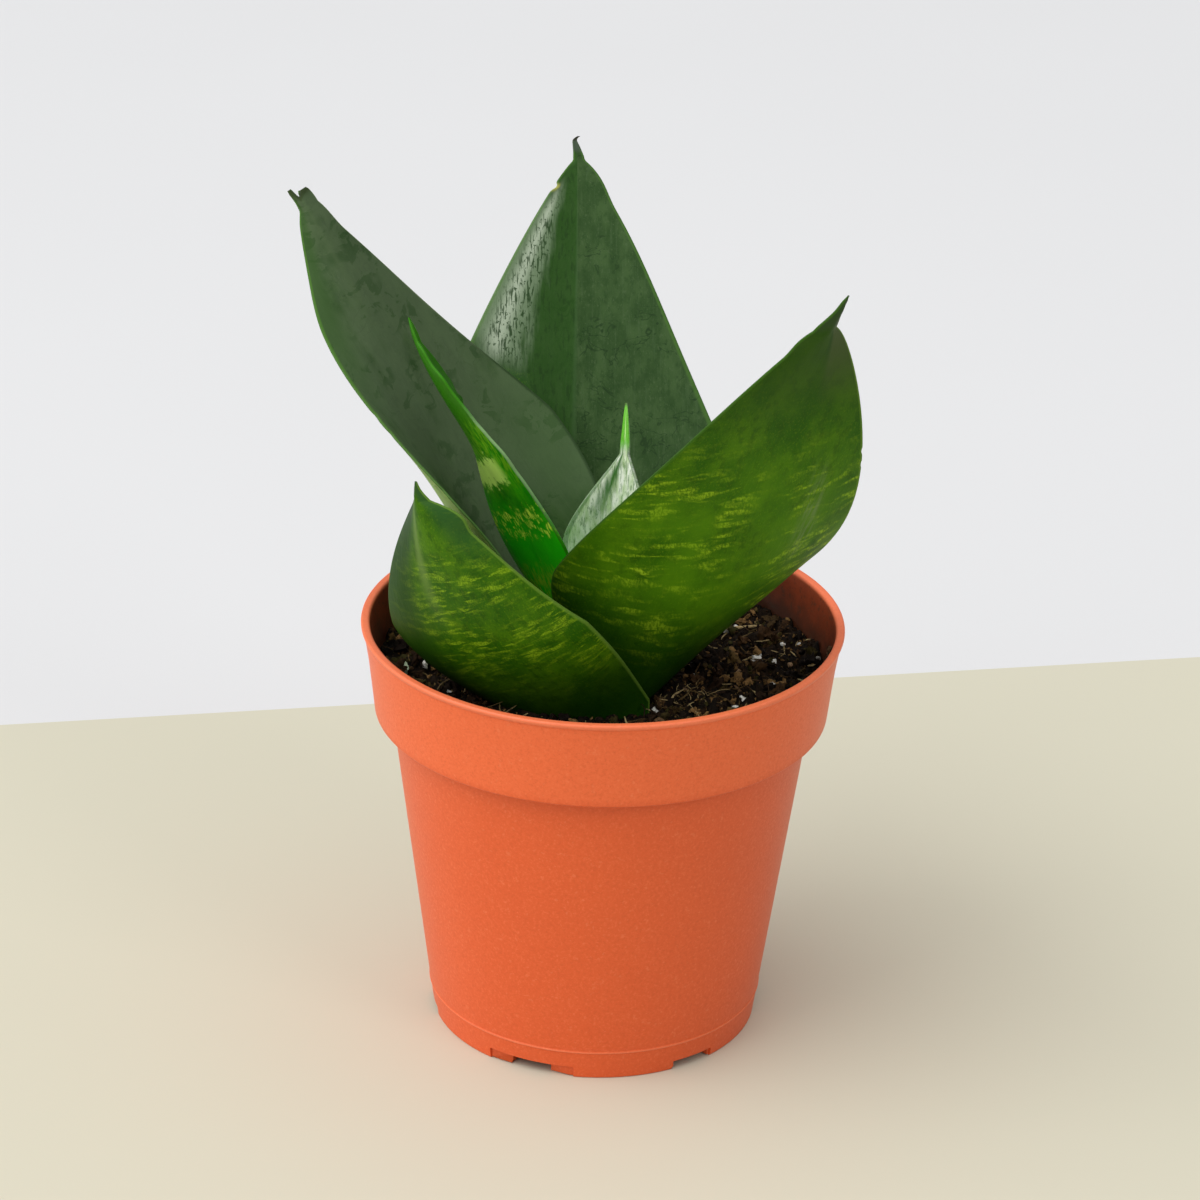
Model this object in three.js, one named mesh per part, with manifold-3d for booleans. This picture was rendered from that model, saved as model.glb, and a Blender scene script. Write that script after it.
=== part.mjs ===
// A snake plant in a plastic nursery pot. Millimetres, +Z up.
// Origin: the middle of the whole plant's footprint box, on the surface that the pot stands on.
import * as THREE from "three";
import { mergeVertices } from "three/addons/utils/BufferGeometryUtils.js";
import Module from "manifold-3d";

const wasm = await Module();
wasm.setup();

// ---- Driving dimensions -----------------------------------------------------------------------
const RIM_RADIUS = 54; // a "4 inch" nursery pot is 108 mm across its rim
const POT_HEIGHT = 96.5;
const WALL = 1.2;
const COLLAR_HEIGHT = 21; // the wide band below the rim
const FOOT_RADIUS = 37;
const FLOOR_HEIGHT = 3; // underside of the pot's floor, above the surface it stands on
const FLOOR_THICKNESS = 1.2;
const SOIL_BELOW_RIM = 11.5;
const GAP = 0.3; // between pieces that touch
const HOLE_CLEARANCE = 0.5; // round a leaf where it stands in the soil

const ROUND_STEPS = 60; // facets round the pot and the soil

// ---- Small helpers ----------------------------------------------------------------------------
const radians = THREE.MathUtils.degToRad;

// A leaf's value at share s of its length, from its values at the base, the middle and the tip.
function along([base, middle, tip], s) {
  return base * (2 * s - 1) * (s - 1) + middle * 4 * s * (1 - s) + tip * s * (2 * s - 1);
}

// A closed mesh from points and triangles.
function geometryOf(points, triangles) {
  const geometry = new THREE.BufferGeometry();
  geometry.setAttribute("position", new THREE.Float32BufferAttribute(points.flat(), 3));
  geometry.setIndex(triangles.flat());
  return geometry;
}

// A geometry's triangles as a solid that can be joined and cut.
function solidOf(geometry) {
  const bare = geometry.clone();
  bare.deleteAttribute("normal");
  bare.deleteAttribute("uv");
  const merged = mergeVertices(bare, 1e-4);
  const mesh = new wasm.Mesh({
    numProp: 3,
    vertProperties: new Float32Array(merged.attributes.position.array),
    triVerts: new Uint32Array(merged.index.array),
  });
  return new wasm.Manifold(mesh);
}

function geometryFromSolid(solid) {
  const mesh = solid.getMesh();
  const geometry = new THREE.BufferGeometry();
  geometry.setAttribute("position", new THREE.BufferAttribute(mesh.vertProperties, 3));
  geometry.setIndex(new THREE.BufferAttribute(mesh.triVerts, 1));
  geometry.computeVertexNormals();
  return geometry;
}

// A profile of [radius, height] points turned about Z.
function lathe(profile, steps) {
  const points = profile.map(([radius, height]) => new THREE.Vector2(radius, height));
  return new THREE.LatheGeometry(points, steps).rotateX(Math.PI / 2);
}

function material(colour, roughness) {
  return new THREE.MeshStandardMaterial({ color: colour, roughness, metalness: 0 });
}

function namedMesh(name, geometry, finish) {
  const mesh = new THREE.Mesh(geometry, finish);
  mesh.name = name;
  return mesh;
}

// ---- Pot --------------------------------------------------------------------------------------
const COLLAR_FOOT_RADIUS = 51.1; // the collar's outside, where it turns in to the body
const BODY_TOP_RADIUS = 46.6;
const SHOULDER_DROP = 3.9; // height of the rounded step from collar to body
const LIP_HEIGHT = 3.4;
const LIP_PROUD = 0.5;
const FOOT_RING_RADIUS = 35.4; // inner ring that stands beside the outer skirt
const FOOT_RING_CLEAR = 0.3; // the inner ring stops this far above the surface
const NOTCH = { count: 6, centre: -114, width: 33.5, height: 2.2 }; // angles in degrees from above
const DRAIN = { width: 15, height: 5.6, innerRadius: 29 }; // the slot inside each notch
const CENTRE_HOLE_RADIUS = 5;

const collarFoot = POT_HEIGHT - COLLAR_HEIGHT;
const bodyTop = collarFoot - SHOULDER_DROP;
const floorTop = FLOOR_HEIGHT + FLOOR_THICKNESS;

// Outer radius of the straight body at a height.
function bodyRadius(height) {
  return THREE.MathUtils.mapLinear(height, 0, bodyTop, FOOT_RADIUS, BODY_TOP_RADIUS);
}

// The outside of the pot, from its foot to the top of its lip.
function potOutside() {
  const shoulder = [
    [BODY_TOP_RADIUS, bodyTop],
    [BODY_TOP_RADIUS + 0.6, bodyTop + 0.5],
    [BODY_TOP_RADIUS + 2.6, bodyTop + 1.5],
    [COLLAR_FOOT_RADIUS - 0.5, collarFoot - 1.2],
    [COLLAR_FOOT_RADIUS, collarFoot],
  ];
  const lipFoot = POT_HEIGHT - LIP_HEIGHT;
  const underLip = RIM_RADIUS - LIP_PROUD - 0.6;
  const lip = [
    [underLip, lipFoot - 0.6],
    [RIM_RADIUS - 0.3, lipFoot + 0.3],
    [RIM_RADIUS, POT_HEIGHT - 1.4],
    [RIM_RADIUS - 0.25, POT_HEIGHT - 0.5],
    [RIM_RADIUS - 0.8, POT_HEIGHT],
  ];
  return [[FOOT_RADIUS, 0], ...shoulder, ...lip];
}

// The inside of the pot, from the lip down to the floor: the outside moved in by the wall.
function potInside() {
  return [
    [RIM_RADIUS - 1.4, POT_HEIGHT - 0.1],
    [RIM_RADIUS - 1.9, POT_HEIGHT - 0.8],
    [RIM_RADIUS - WALL - 1.2, POT_HEIGHT - LIP_HEIGHT],
    [COLLAR_FOOT_RADIUS - WALL, collarFoot + 0.4],
    [COLLAR_FOOT_RADIUS - WALL - 0.9, collarFoot - 0.6],
    [BODY_TOP_RADIUS - WALL, bodyTop - 0.4],
    [bodyRadius(floorTop) - WALL, floorTop],
  ];
}

// A wedge of a ring that stands on the pot's foot: centre and width in degrees from above.
function ringWedge(centre, width, inner, outer, height) {
  const start = radians(centre - width / 2);
  const end = radians(centre + width / 2);
  const shape = new THREE.Shape();
  shape.absarc(0, 0, outer, start, end, false);
  shape.absarc(0, 0, inner, end, start, true);
  shape.closePath();
  const below = 1;
  const options = { depth: height + below, bevelEnabled: false, curveSegments: 6 };
  return solidOf(new THREE.ExtrudeGeometry(shape, options).translate(0, 0, -below));
}

function potSolid() {
  const underside = [
    [0, FLOOR_HEIGHT],
    [FOOT_RING_RADIUS - WALL, FLOOR_HEIGHT],
    [FOOT_RING_RADIUS - WALL, FOOT_RING_CLEAR],
    [FOOT_RADIUS - WALL, FOOT_RING_CLEAR],
    [FOOT_RADIUS - WALL, 0],
  ];
  const profile = [...underside, ...potOutside(), ...potInside(), [0, floorTop]];
  let pot = solidOf(lathe(profile, ROUND_STEPS));
  for (let i = 0; i < NOTCH.count; i++) {
    const centre = NOTCH.centre + (i * 360) / NOTCH.count;
    const outer = FOOT_RADIUS + 2;
    pot = pot.subtract(ringWedge(centre, NOTCH.width, FOOT_RING_RADIUS, outer, NOTCH.height));
    pot = pot.subtract(ringWedge(centre, DRAIN.width, DRAIN.innerRadius, outer, DRAIN.height));
  }
  const hole = new THREE.CylinderGeometry(CENTRE_HOLE_RADIUS, CENTRE_HOLE_RADIUS, 4 * FLOOR_HEIGHT, 24);
  return pot.subtract(solidOf(hole.rotateX(Math.PI / 2)));
}

// ---- Leaves -----------------------------------------------------------------------------------
// Each leaf is a curved blade. Its midrib starts at root and runs for length. heading, lean and
// twist (degrees, at base, middle and tip) say which way the midrib points over the ground, how far
// it leans from upright, and how the blade turns about it. Flattened, the blade is width across at
// its widest, which is at share widest of its length, and base is its share of that width at the
// crown. shoulder and fullness shape the outline from there up to the spike at the tip. sheath is
// how far the base goes straight on down from the root, into the soil.
// cup rolls both halves up evenly and fold bends them in a V at the midrib (degrees, as above).
const LEAVES = {
  leaf_back: {
    root: [-5, 7, 79], length: 122, heading: [103, 91, 95], lean: [27, 29, 28], twist: [-3, 3, -5],
    width: 66, widest: 0.47, base: 0.22, shoulder: 1, fullness: 0.77, spike: 6, sheath: 1,
    cup: [62, 15, 13], fold: [12, 9, 9], thickness: [2.6, 2.2, 1.2], colour: 0x3c553c,
  },
  leaf_left: {
    root: [-7, -3, 81], length: 129, heading: [167, 167, 162], lean: [30, 29, 34], twist: [-45, -7, -50],
    width: 63, widest: 0.43, base: 0.43, shoulder: 1.2, fullness: 1, spike: 1, sheath: 0.5,
    cup: [85, 40, -16], fold: [23, 0, -16], thickness: [2.6, 2.2, 1.2], colour: 0x3a543a,
  },
  leaf_right: {
    root: [4, -17, 80], length: 126, heading: [-9, -42, -46], lean: [37, 22.5, 31], twist: [-34, -26, 6],
    width: 67, widest: 0.26, base: 0.43, shoulder: 1.45, fullness: 0.68, spike: 9, sheath: 3,
    cup: [80, 15, 6], fold: [19, 1, 4], thickness: [2.6, 2.2, 1.2], colour: 0x3f6a1c,
  },
  leaf_front: {
    root: [-4, -21, 76], length: 84, heading: [201, 215, 186], lean: [44, 34, 4], twist: [36, 27, 20],
    width: 54, widest: 0.5, base: 0.74, shoulder: 1.1, fullness: 0.51, spike: 4, sheath: 5,
    cup: [48, 43, 29], fold: [7, -10, 19], thickness: [2.6, 2.2, 1.2], colour: 0x3d641a,
  },
  leaf_young: {
    root: [-4.5, -10.5, 81], length: 100, heading: [175, 195, 121], lean: [6, 27.5, 36], twist: [12, 22, 27],
    width: 27, widest: 0.46, base: 0.36, shoulder: 1.55, fullness: 0.92, spike: 4, sheath: 1,
    cup: [70, 21, 56], fold: [-11, -10, 22], thickness: [1.8, 1.6, 1], colour: 0x2f7a20,
  },
  leaf_spear: {
    root: [2, -11.5, 82.5], length: 68, heading: [74, 68, 96], lean: [7, 5, 25], twist: [-28, -17, -39],
    width: 26.5, widest: 0.6, base: 0.17, shoulder: 1.43, fullness: 1.18, spike: 9, sheath: 1,
    cup: [88, 38, 27], fold: [-2, 0, 11], thickness: [1.6, 1.4, 1], colour: 0x6f9a5c,
  },
};

const EDGE_THICKNESS = 0.8;
const SPIKE_HALF_WIDTH = 0.8; // where the spike leaves the blade
const POINT_HALF_WIDTH = 0.4; // at its blunt point
const FOLD_SHARE = 0.12; // of the half width, over which the midrib fold turns
const ROWS = 28; // stations along a leaf
const COLUMNS = [-1, -0.8, -0.55, -0.3, -0.12, 0, 0.12, 0.3, 0.55, 0.8, 1];

// Half the flattened width at share s of the length.
function halfWidth(leaf, s) {
  const spikeShare = leaf.spike / leaf.length;
  const bladeShare = Math.min(s / (1 - spikeShare), 1);
  const rise = Math.sin((Math.PI / 2) * Math.min(bladeShare / leaf.widest, 1));
  const past = Math.max((bladeShare - leaf.widest) / (1 - leaf.widest), 0);
  const outline = past > 0
    ? (1 - past ** leaf.shoulder) ** leaf.fullness
    : leaf.base + (1 - leaf.base) * rise;
  const spike = SPIKE_HALF_WIDTH * Math.min((1 - s) / spikeShare, 1) ** 0.7 + POINT_HALF_WIDTH;
  return Math.max((leaf.width / 2) * outline, spike);
}

// Unit vectors at share s: along the midrib, across the blade, and out of its upper face.
function bladeAxes(leaf, s) {
  const heading = radians(along(leaf.heading, s));
  const lean = radians(along(leaf.lean, s));
  const twist = radians(along(leaf.twist, s));
  const forward = new THREE.Vector3(
    Math.sin(lean) * Math.cos(heading),
    Math.sin(lean) * Math.sin(heading),
    Math.cos(lean),
  );
  const upper = new THREE.Vector3(
    -Math.cos(lean) * Math.cos(heading),
    -Math.cos(lean) * Math.sin(heading),
    Math.sin(lean),
  );
  const across = forward.clone().cross(upper);
  upper.applyAxisAngle(forward, twist);
  across.applyAxisAngle(forward, twist);
  return { forward, across, upper };
}

// The cross-section at share s for a half width of 1: where each column lies, and its slope.
function crossSection(leaf, s) {
  const cup = radians(along(leaf.cup, s));
  const fold = radians(along(leaf.fold, s));
  const slopeAt = (v) => cup * v + fold * Math.tanh(v / FOLD_SHARE);
  const substeps = 24;
  return COLUMNS.map((v) => {
    let across = 0;
    let up = 0;
    for (let i = 0; i < substeps; i++) {
      const slope = slopeAt((v * (i + 0.5)) / substeps);
      across += (Math.cos(slope) * v) / substeps;
      up += (Math.sin(slope) * v) / substeps;
    }
    return { v, across, up, slope: slopeAt(v) };
  });
}

// One row of points on each face, across the blade at share s.
function bladeRow(leaf, s, midrib, grow) {
  const { across, upper } = bladeAxes(leaf, s);
  const half = halfWidth(leaf, s);
  const middle = Math.min(along(leaf.thickness, s), Math.max(1.6 * half, EDGE_THICKNESS));
  const row = { upper: [], lower: [] };
  for (const place of crossSection(leaf, s)) {
    const reach = half + grow;
    const point = midrib.clone()
      .addScaledVector(across, reach * place.across)
      .addScaledVector(upper, reach * place.up);
    const normal = upper.clone().multiplyScalar(Math.cos(place.slope))
      .addScaledVector(across, -Math.sin(place.slope));
    const thickness = EDGE_THICKNESS + (middle - EDGE_THICKNESS) * (1 - Math.abs(place.v) ** 2.5);
    const offset = thickness / 2 + grow;
    row.upper.push(point.clone().addScaledVector(normal, offset));
    row.lower.push(point.clone().addScaledVector(normal, -offset));
  }
  return row;
}

// The rows of a leaf from its buried end to its tip. grow makes every face stand out by that much.
function leafRows(leaf, grow) {
  const root = new THREE.Vector3(...leaf.root);
  const sheath = new THREE.Vector3(0, 0, -leaf.sheath - grow);
  const first = bladeRow(leaf, 0, root, grow);
  const lowest = {
    upper: first.upper.map((point) => point.clone().add(sheath)),
    lower: first.lower.map((point) => point.clone().add(sheath)),
  };
  const rows = [lowest, first];
  const midrib = root.clone();
  const substeps = 4;
  let before = 0;
  for (let i = 1; i <= ROWS; i++) {
    const s = 1 - (1 - i / ROWS) ** 1.35; // closer together towards the tip
    const step = (s - before) / substeps;
    for (let k = 0; k < substeps; k++) {
      const { forward } = bladeAxes(leaf, before + (k + 0.5) * step);
      midrib.addScaledVector(forward, step * leaf.length);
    }
    before = s;
    rows.push(bladeRow(leaf, s, midrib, grow));
  }
  return rows;
}

// A closed blade. Both faces are split along the same diagonals.
function leafGeometry(leaf, grow = 0) {
  const rows = leafRows(leaf, grow);
  const last = COLUMNS.length - 1;
  const points = rows.flatMap((row) => [...row.upper, ...row.lower]).map((p) => p.toArray());
  const upper = (i, j) => i * 2 * COLUMNS.length + j;
  const lower = (i, j) => upper(i, j) + COLUMNS.length;
  const triangles = [];
  const quad = (a, b, c, d) => triangles.push([a, b, c], [a, c, d]);
  for (let i = 0; i + 1 < rows.length; i++) {
    for (let j = 0; j < last; j++) {
      quad(upper(i, j), upper(i, j + 1), upper(i + 1, j + 1), upper(i + 1, j));
      triangles.push([lower(i, j), lower(i + 1, j + 1), lower(i, j + 1)]);
      triangles.push([lower(i, j), lower(i + 1, j), lower(i + 1, j + 1)]);
    }
    quad(upper(i, 0), upper(i + 1, 0), lower(i + 1, 0), lower(i, 0));
    quad(upper(i, last), lower(i, last), lower(i + 1, last), upper(i + 1, last));
  }
  const top = rows.length - 1;
  for (let j = 0; j < last; j++) {
    quad(upper(0, j), lower(0, j), lower(0, j + 1), upper(0, j + 1));
    quad(upper(top, j), upper(top, j + 1), lower(top, j + 1), lower(top, j));
  }
  return geometryOf(points, triangles);
}

// ---- Soil -------------------------------------------------------------------------------------
const SOIL_LEVEL = POT_HEIGHT - SOIL_BELOW_RIM;
const CROWN = { x: 0, y: -12, radius: 22, rise: 1.2 }; // the soil is drawn up a little round the crown
const LOWEST_SOIL = SOIL_LEVEL - 1.1;
const SOIL_RINGS = 8;

// Low lumps, so that the surface isn't flat.
function soilHeight(x, y) {
  const fromCrown = Math.hypot(x - CROWN.x, y - CROWN.y) / CROWN.radius;
  const lumps = 0.45 * Math.sin(x / 3.1 + 0.6) * Math.sin(y / 3.7)
    + 0.35 * Math.sin(x / 5.3 + y / 4.1 + 1.9)
    + 0.3 * Math.sin(y / 2.3 - x / 2.9);
  return SOIL_LEVEL + CROWN.rise * Math.exp(-(fromCrown ** 2)) + lumps;
}

// The soil as a closed block that follows the inside of the pot, before the leaves' holes.
function soilGeometry() {
  const wall = potInside().reverse();
  const above = wall.findIndex(([, height]) => height > SOIL_LEVEL);
  const [lowRadius, lowHeight] = wall[above - 1];
  const [highRadius, highHeight] = wall[above];
  const wallRadius = THREE.MathUtils.mapLinear(LOWEST_SOIL, lowHeight, highHeight, lowRadius, highRadius);
  const rings = wall.slice(0, above).map(([radius, height]) => ({
    radius: radius - GAP,
    height: height + GAP,
  }));
  for (let k = SOIL_RINGS; k >= 1; k--) {
    rings.push({ radius: ((wallRadius - GAP) * k) / SOIL_RINGS }); // its height is soilHeight
  }

  const points = [];
  for (const { radius, height } of rings) {
    for (let i = 0; i < ROUND_STEPS; i++) {
      const angle = (2 * Math.PI * i) / ROUND_STEPS;
      const x = radius * Math.cos(angle);
      const y = radius * Math.sin(angle);
      points.push([x, y, height ?? soilHeight(x, y)]);
    }
  }
  const bottomCentre = points.push([0, 0, rings[0].height]) - 1;
  const topCentre = points.push([0, 0, soilHeight(0, 0)]) - 1;
  const triangles = [];
  for (let i = 0; i < ROUND_STEPS; i++) {
    const next = (i + 1) % ROUND_STEPS;
    triangles.push([bottomCentre, next, i]);
    for (let k = 0; k + 1 < rings.length; k++) {
      const here = k * ROUND_STEPS;
      const there = here + ROUND_STEPS;
      triangles.push([here + i, here + next, there + next], [here + i, there + next, there + i]);
    }
    const lastRing = (rings.length - 1) * ROUND_STEPS;
    triangles.push([topCentre, lastRing + i, lastRing + next]);
  }
  return geometryOf(points, triangles);
}

// The soil with a plain hole where each leaf stands in it.
function soilSolid() {
  let soil = solidOf(soilGeometry());
  for (const leaf of Object.values(LEAVES)) {
    soil = soil.subtract(solidOf(leafGeometry(leaf, HOLE_CLEARANCE)));
  }
  return soil;
}

// ---- The plant in its pot ---------------------------------------------------------------------
const plant = new THREE.Group();
plant.add(namedMesh("pot", geometryFromSolid(potSolid()), material(0xe0703f, 0.45)));
plant.add(namedMesh("soil", geometryFromSolid(soilSolid()), material(0x2a211b, 1)));
for (const [name, leaf] of Object.entries(LEAVES)) {
  plant.add(namedMesh(name, leafGeometry(leaf), material(leaf.colour, 0.4)));
}

// Bring the middle of the footprint box to the origin.
const box = new THREE.Box3().setFromObject(plant);
const middle = box.getCenter(new THREE.Vector3());
plant.position.set(-middle.x, -middle.y, 0);

const part = new THREE.Group();
part.add(plant);
export default part;
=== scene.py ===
"""The looks of a potted snake plant: finer pot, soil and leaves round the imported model.

Sizes here are millimetres in the pot's own frame: its axis is x = y = 0, it stands on z = 0, and
the viewer is at -y. place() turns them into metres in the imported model's frame.
"""

import math
import random

import bmesh
import bpy
import numpy as np
from mathutils import Matrix, Vector, kdtree, noise


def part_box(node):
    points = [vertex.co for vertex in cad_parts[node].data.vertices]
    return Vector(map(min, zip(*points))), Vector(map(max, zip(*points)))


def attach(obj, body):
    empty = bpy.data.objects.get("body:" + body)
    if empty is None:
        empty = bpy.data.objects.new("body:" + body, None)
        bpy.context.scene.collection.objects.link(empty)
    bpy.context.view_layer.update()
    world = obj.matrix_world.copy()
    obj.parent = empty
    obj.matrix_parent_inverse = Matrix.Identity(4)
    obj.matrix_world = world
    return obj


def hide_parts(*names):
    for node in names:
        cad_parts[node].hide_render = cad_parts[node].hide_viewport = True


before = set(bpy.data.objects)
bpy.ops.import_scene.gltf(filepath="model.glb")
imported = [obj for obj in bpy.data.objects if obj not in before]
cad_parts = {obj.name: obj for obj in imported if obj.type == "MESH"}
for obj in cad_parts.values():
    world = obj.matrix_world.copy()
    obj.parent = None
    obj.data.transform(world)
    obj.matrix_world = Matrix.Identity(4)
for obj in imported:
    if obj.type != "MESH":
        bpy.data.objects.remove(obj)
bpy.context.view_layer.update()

MM = 0.001
pot_low, pot_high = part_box("pot")
POT_X = (pot_low.x + pot_high.x) / 2
POT_Y = (pot_low.y + pot_high.y) / 2

# ---- Driving dimensions, those of the part's source, but with notches closer to the photo ----
RIM_RADIUS = 54.0
POT_HEIGHT = 96.5
WALL = 1.2
COLLAR_HEIGHT = 21.0
FOOT_RADIUS = 37.0
FLOOR_HEIGHT = 3.0
FLOOR_THICKNESS = 1.2
SOIL_BELOW_RIM = 11.5
GAP = 0.3

BODY_TOP_RADIUS = 46.6
SHOULDER_DROP = 3.9
LIP_HEIGHT = 3.4
FOOT_RING_RADIUS = 35.4
FOOT_RING_CLEAR = 0.3
NOTCH_COUNT = 6
NOTCH_CENTRE = -112.3  # degrees round the axis, as the notches' and drains' widths
NOTCH_WIDTH = 32.0
NOTCH_HEIGHT = 2.2
DRAIN_WIDTH = 15.0
DRAIN_HEIGHT = 5.6
DRAIN_INNER_RADIUS = 29.0
CENTRE_HOLE_RADIUS = 5.0

COLLAR_FOOT = POT_HEIGHT - COLLAR_HEIGHT
BODY_TOP = COLLAR_FOOT - SHOULDER_DROP
FLOOR_TOP = FLOOR_HEIGHT + FLOOR_THICKNESS
SOIL_LEVEL = POT_HEIGHT - SOIL_BELOW_RIM

# ---- Camera ----
PHOTO_SIDE = 1200  # pixels
FOCAL_PIXELS = 4504.0
CAMERA_AIM = (-0.8, 0.0, 101.2)
CAMERA_DISTANCE = 1003.3
CAMERA_PITCH = math.radians(24.66)  # looks down this much
CAMERA_ROLL = math.radians(1.44)
SENSOR = 36.0


def place(points):
    """Millimetres in the pot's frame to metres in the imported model's frame."""
    points = np.asarray(points, float) * MM
    return points + np.array([POT_X, POT_Y, 0.0])


def camera_axes():
    """The camera's right, up and forward directions."""
    forward = Vector((0, math.cos(CAMERA_PITCH), -math.sin(CAMERA_PITCH)))
    level_up = Vector((0, math.sin(CAMERA_PITCH), math.cos(CAMERA_PITCH)))
    level_right = Vector((1, 0, 0))
    right = math.cos(CAMERA_ROLL) * level_right + math.sin(CAMERA_ROLL) * level_up
    up = math.cos(CAMERA_ROLL) * level_up - math.sin(CAMERA_ROLL) * level_right
    return right, up, forward


def camera_place():
    return Vector(CAMERA_AIM) - CAMERA_DISTANCE * camera_axes()[2]


def under_pixel(px, py, height):
    """The point at a height, in the pot's frame, that the camera sees at a pixel of the photo."""
    right, up, forward = camera_axes()
    half = PHOTO_SIDE / 2
    ray = forward + right * ((px - half) / FOCAL_PIXELS) - up * ((py - half) / FOCAL_PIXELS)
    start = camera_place()
    return start + ray * ((height - start.z) / ray.z)


def make_camera():
    right, up, forward = camera_axes()
    data = bpy.data.cameras.new("camera")
    data.sensor_width = SENSOR
    data.lens = FOCAL_PIXELS / PHOTO_SIDE * SENSOR
    data.clip_start = 0.05
    data.clip_end = 20
    camera = bpy.data.objects.new("camera", data)
    camera.matrix_world = Matrix((right, up, -forward)).transposed().to_4x4()
    camera.location = Vector(place(camera_place()))
    bpy.context.scene.collection.objects.link(camera)
    bpy.context.scene.camera = camera


# ---- Mesh helpers ----
SLIVER = 0.002  # millimetres; shorter edges are dissolved after a cut


def ramp(value, start, end):
    """0 before start, 1 past end and straight between."""
    return np.clip((value - start) / (end - start), 0, 1)


def make_object(name, points, faces, material, smooth_angle=None):
    """A mesh object from points in the pot's frame. Faces are smooth, with edges sharper than
    smooth_angle (degrees) kept sharp."""
    mesh = bpy.data.meshes.new(name)
    mesh.from_pydata(place(points).tolist(), [], [list(map(int, face)) for face in faces])
    mesh.update()
    mesh.shade_smooth()
    if smooth_angle is not None:
        mesh.set_sharp_from_angle(angle=math.radians(smooth_angle))
    mesh.materials.append(material)
    piece = bpy.data.objects.new(name, mesh)
    bpy.context.scene.collection.objects.link(piece)
    return piece


def add_attribute(piece, name, values):
    attribute = piece.data.attributes.new(name, "FLOAT", "POINT")
    attribute.data.foreach_set("value", np.asarray(values, np.float32))


def grid_faces(rows, columns):
    """Quads of a grid whose columns run round a closed loop, rows from first to last."""
    faces = []
    for first in range(0, (rows - 1) * columns, columns):
        for j in range(columns):
            here, after = first + j, first + (j + 1) % columns
            faces.append((here, after, after + columns, here + columns))
    return faces


def lathe(profile, steps):
    """Points and faces of a closed profile of (radius, height) turned about z, with the first and
    last point on the axis."""
    angles = np.arange(steps) * 2 * math.pi / steps
    inner = profile[1:-1]
    points = [(r * math.cos(a), r * math.sin(a), z) for r, z in inner for a in angles]
    faces = grid_faces(len(inner), steps)
    first = len(points)
    points += [(0, 0, profile[0][1]), (0, 0, profile[-1][1])]
    last_row = (len(inner) - 1) * steps
    for j in range(steps):
        after = (j + 1) % steps
        faces.append((first, after, j))
        faces.append((first + 1, last_row + j, last_row + after))
    return points, faces


def arc(centre, radius, start, end, count):
    """Points on an arc, angles in degrees."""
    angles = np.radians(np.linspace(start, end, count))
    return [(centre[0] + radius * math.cos(a), centre[1] + radius * math.sin(a)) for a in angles]


def subtract(piece, cutters):
    """Cuts every cutter out of the piece, and removes the cutters and the slivers they leave."""
    for cutter in cutters:
        modifier = piece.modifiers.new("cut", "BOOLEAN")
        modifier.operation = "DIFFERENCE"
        modifier.solver = "MANIFOLD"
        modifier.object = cutter
    shown = piece.evaluated_get(bpy.context.evaluated_depsgraph_get())
    mesh = bpy.data.meshes.new_from_object(shown)
    shape = bmesh.new()
    shape.from_mesh(mesh)
    bmesh.ops.dissolve_degenerate(shape, dist=SLIVER * MM, edges=shape.edges)
    shape.to_mesh(mesh)
    shape.free()
    piece.modifiers.clear()
    piece.data = mesh
    for cutter in cutters:
        bpy.data.objects.remove(cutter)


# ---- Material helpers ----
class Value:
    """A number, a vector or a colour that nodes work out. Arithmetic with it adds nodes, and | is
    the larger of two."""

    def __init__(self, tree, socket):
        self.tree = tree
        self.socket = socket

    def __add__(self, other):
        return self.tree.math("ADD", self, other)

    def __sub__(self, other):
        return self.tree.math("SUBTRACT", self, other)

    def __rsub__(self, other):
        return self.tree.math("SUBTRACT", other, self)

    def __mul__(self, other):
        return self.tree.math("MULTIPLY", self, other)

    def __pow__(self, power):
        return self.tree.math("POWER", self, power)

    def __or__(self, other):
        return self.tree.math("MAXIMUM", self, other)

    def __abs__(self):
        return self.tree.math("ABSOLUTE", self)

    __radd__ = __add__
    __rmul__ = __mul__

    def step(self, low, high):
        """0 below low, 1 above high and smooth between; falls if low is above high."""
        ends = (0.0, 1.0) if low < high else (1.0, 0.0)
        inputs = {"Value": self, "From Min": min(low, high), "From Max": max(low, high),
                  "To Min": ends[0], "To Max": ends[1]}
        return self.tree.node("MapRange", inputs, interpolation_type="SMOOTHSTEP")

    def bell(self, centre, width):
        """1 at the centre, falling smoothly to 0 at width from it."""
        return abs(self - centre).step(width, 0.0)


class Nodes:
    """A node tree that is built up one node at a time."""

    def __init__(self, tree):
        self.nodes, self.links = tree.nodes, tree.links

    def feed(self, socket, value):
        if isinstance(value, Value):
            self.links.new(value.socket, socket)
        elif socket.type == "RGBA":
            socket.default_value = (*value, 1.0)
        else:
            socket.default_value = value

    def node(self, kind, inputs, output=0, **settings):
        """Adds a node, sets it, feeds its inputs and gives back one of its outputs."""
        node = self.nodes.new("ShaderNode" + kind)
        for name, value in settings.items():
            setattr(node, name, value)
        for name, value in inputs.items():
            self.feed(node.inputs[name], value)
        return Value(self, node.outputs[output])

    def math(self, operation, a, b=0.0):
        return self.node("Math", {0: a, 1: b}, operation=operation)


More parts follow.
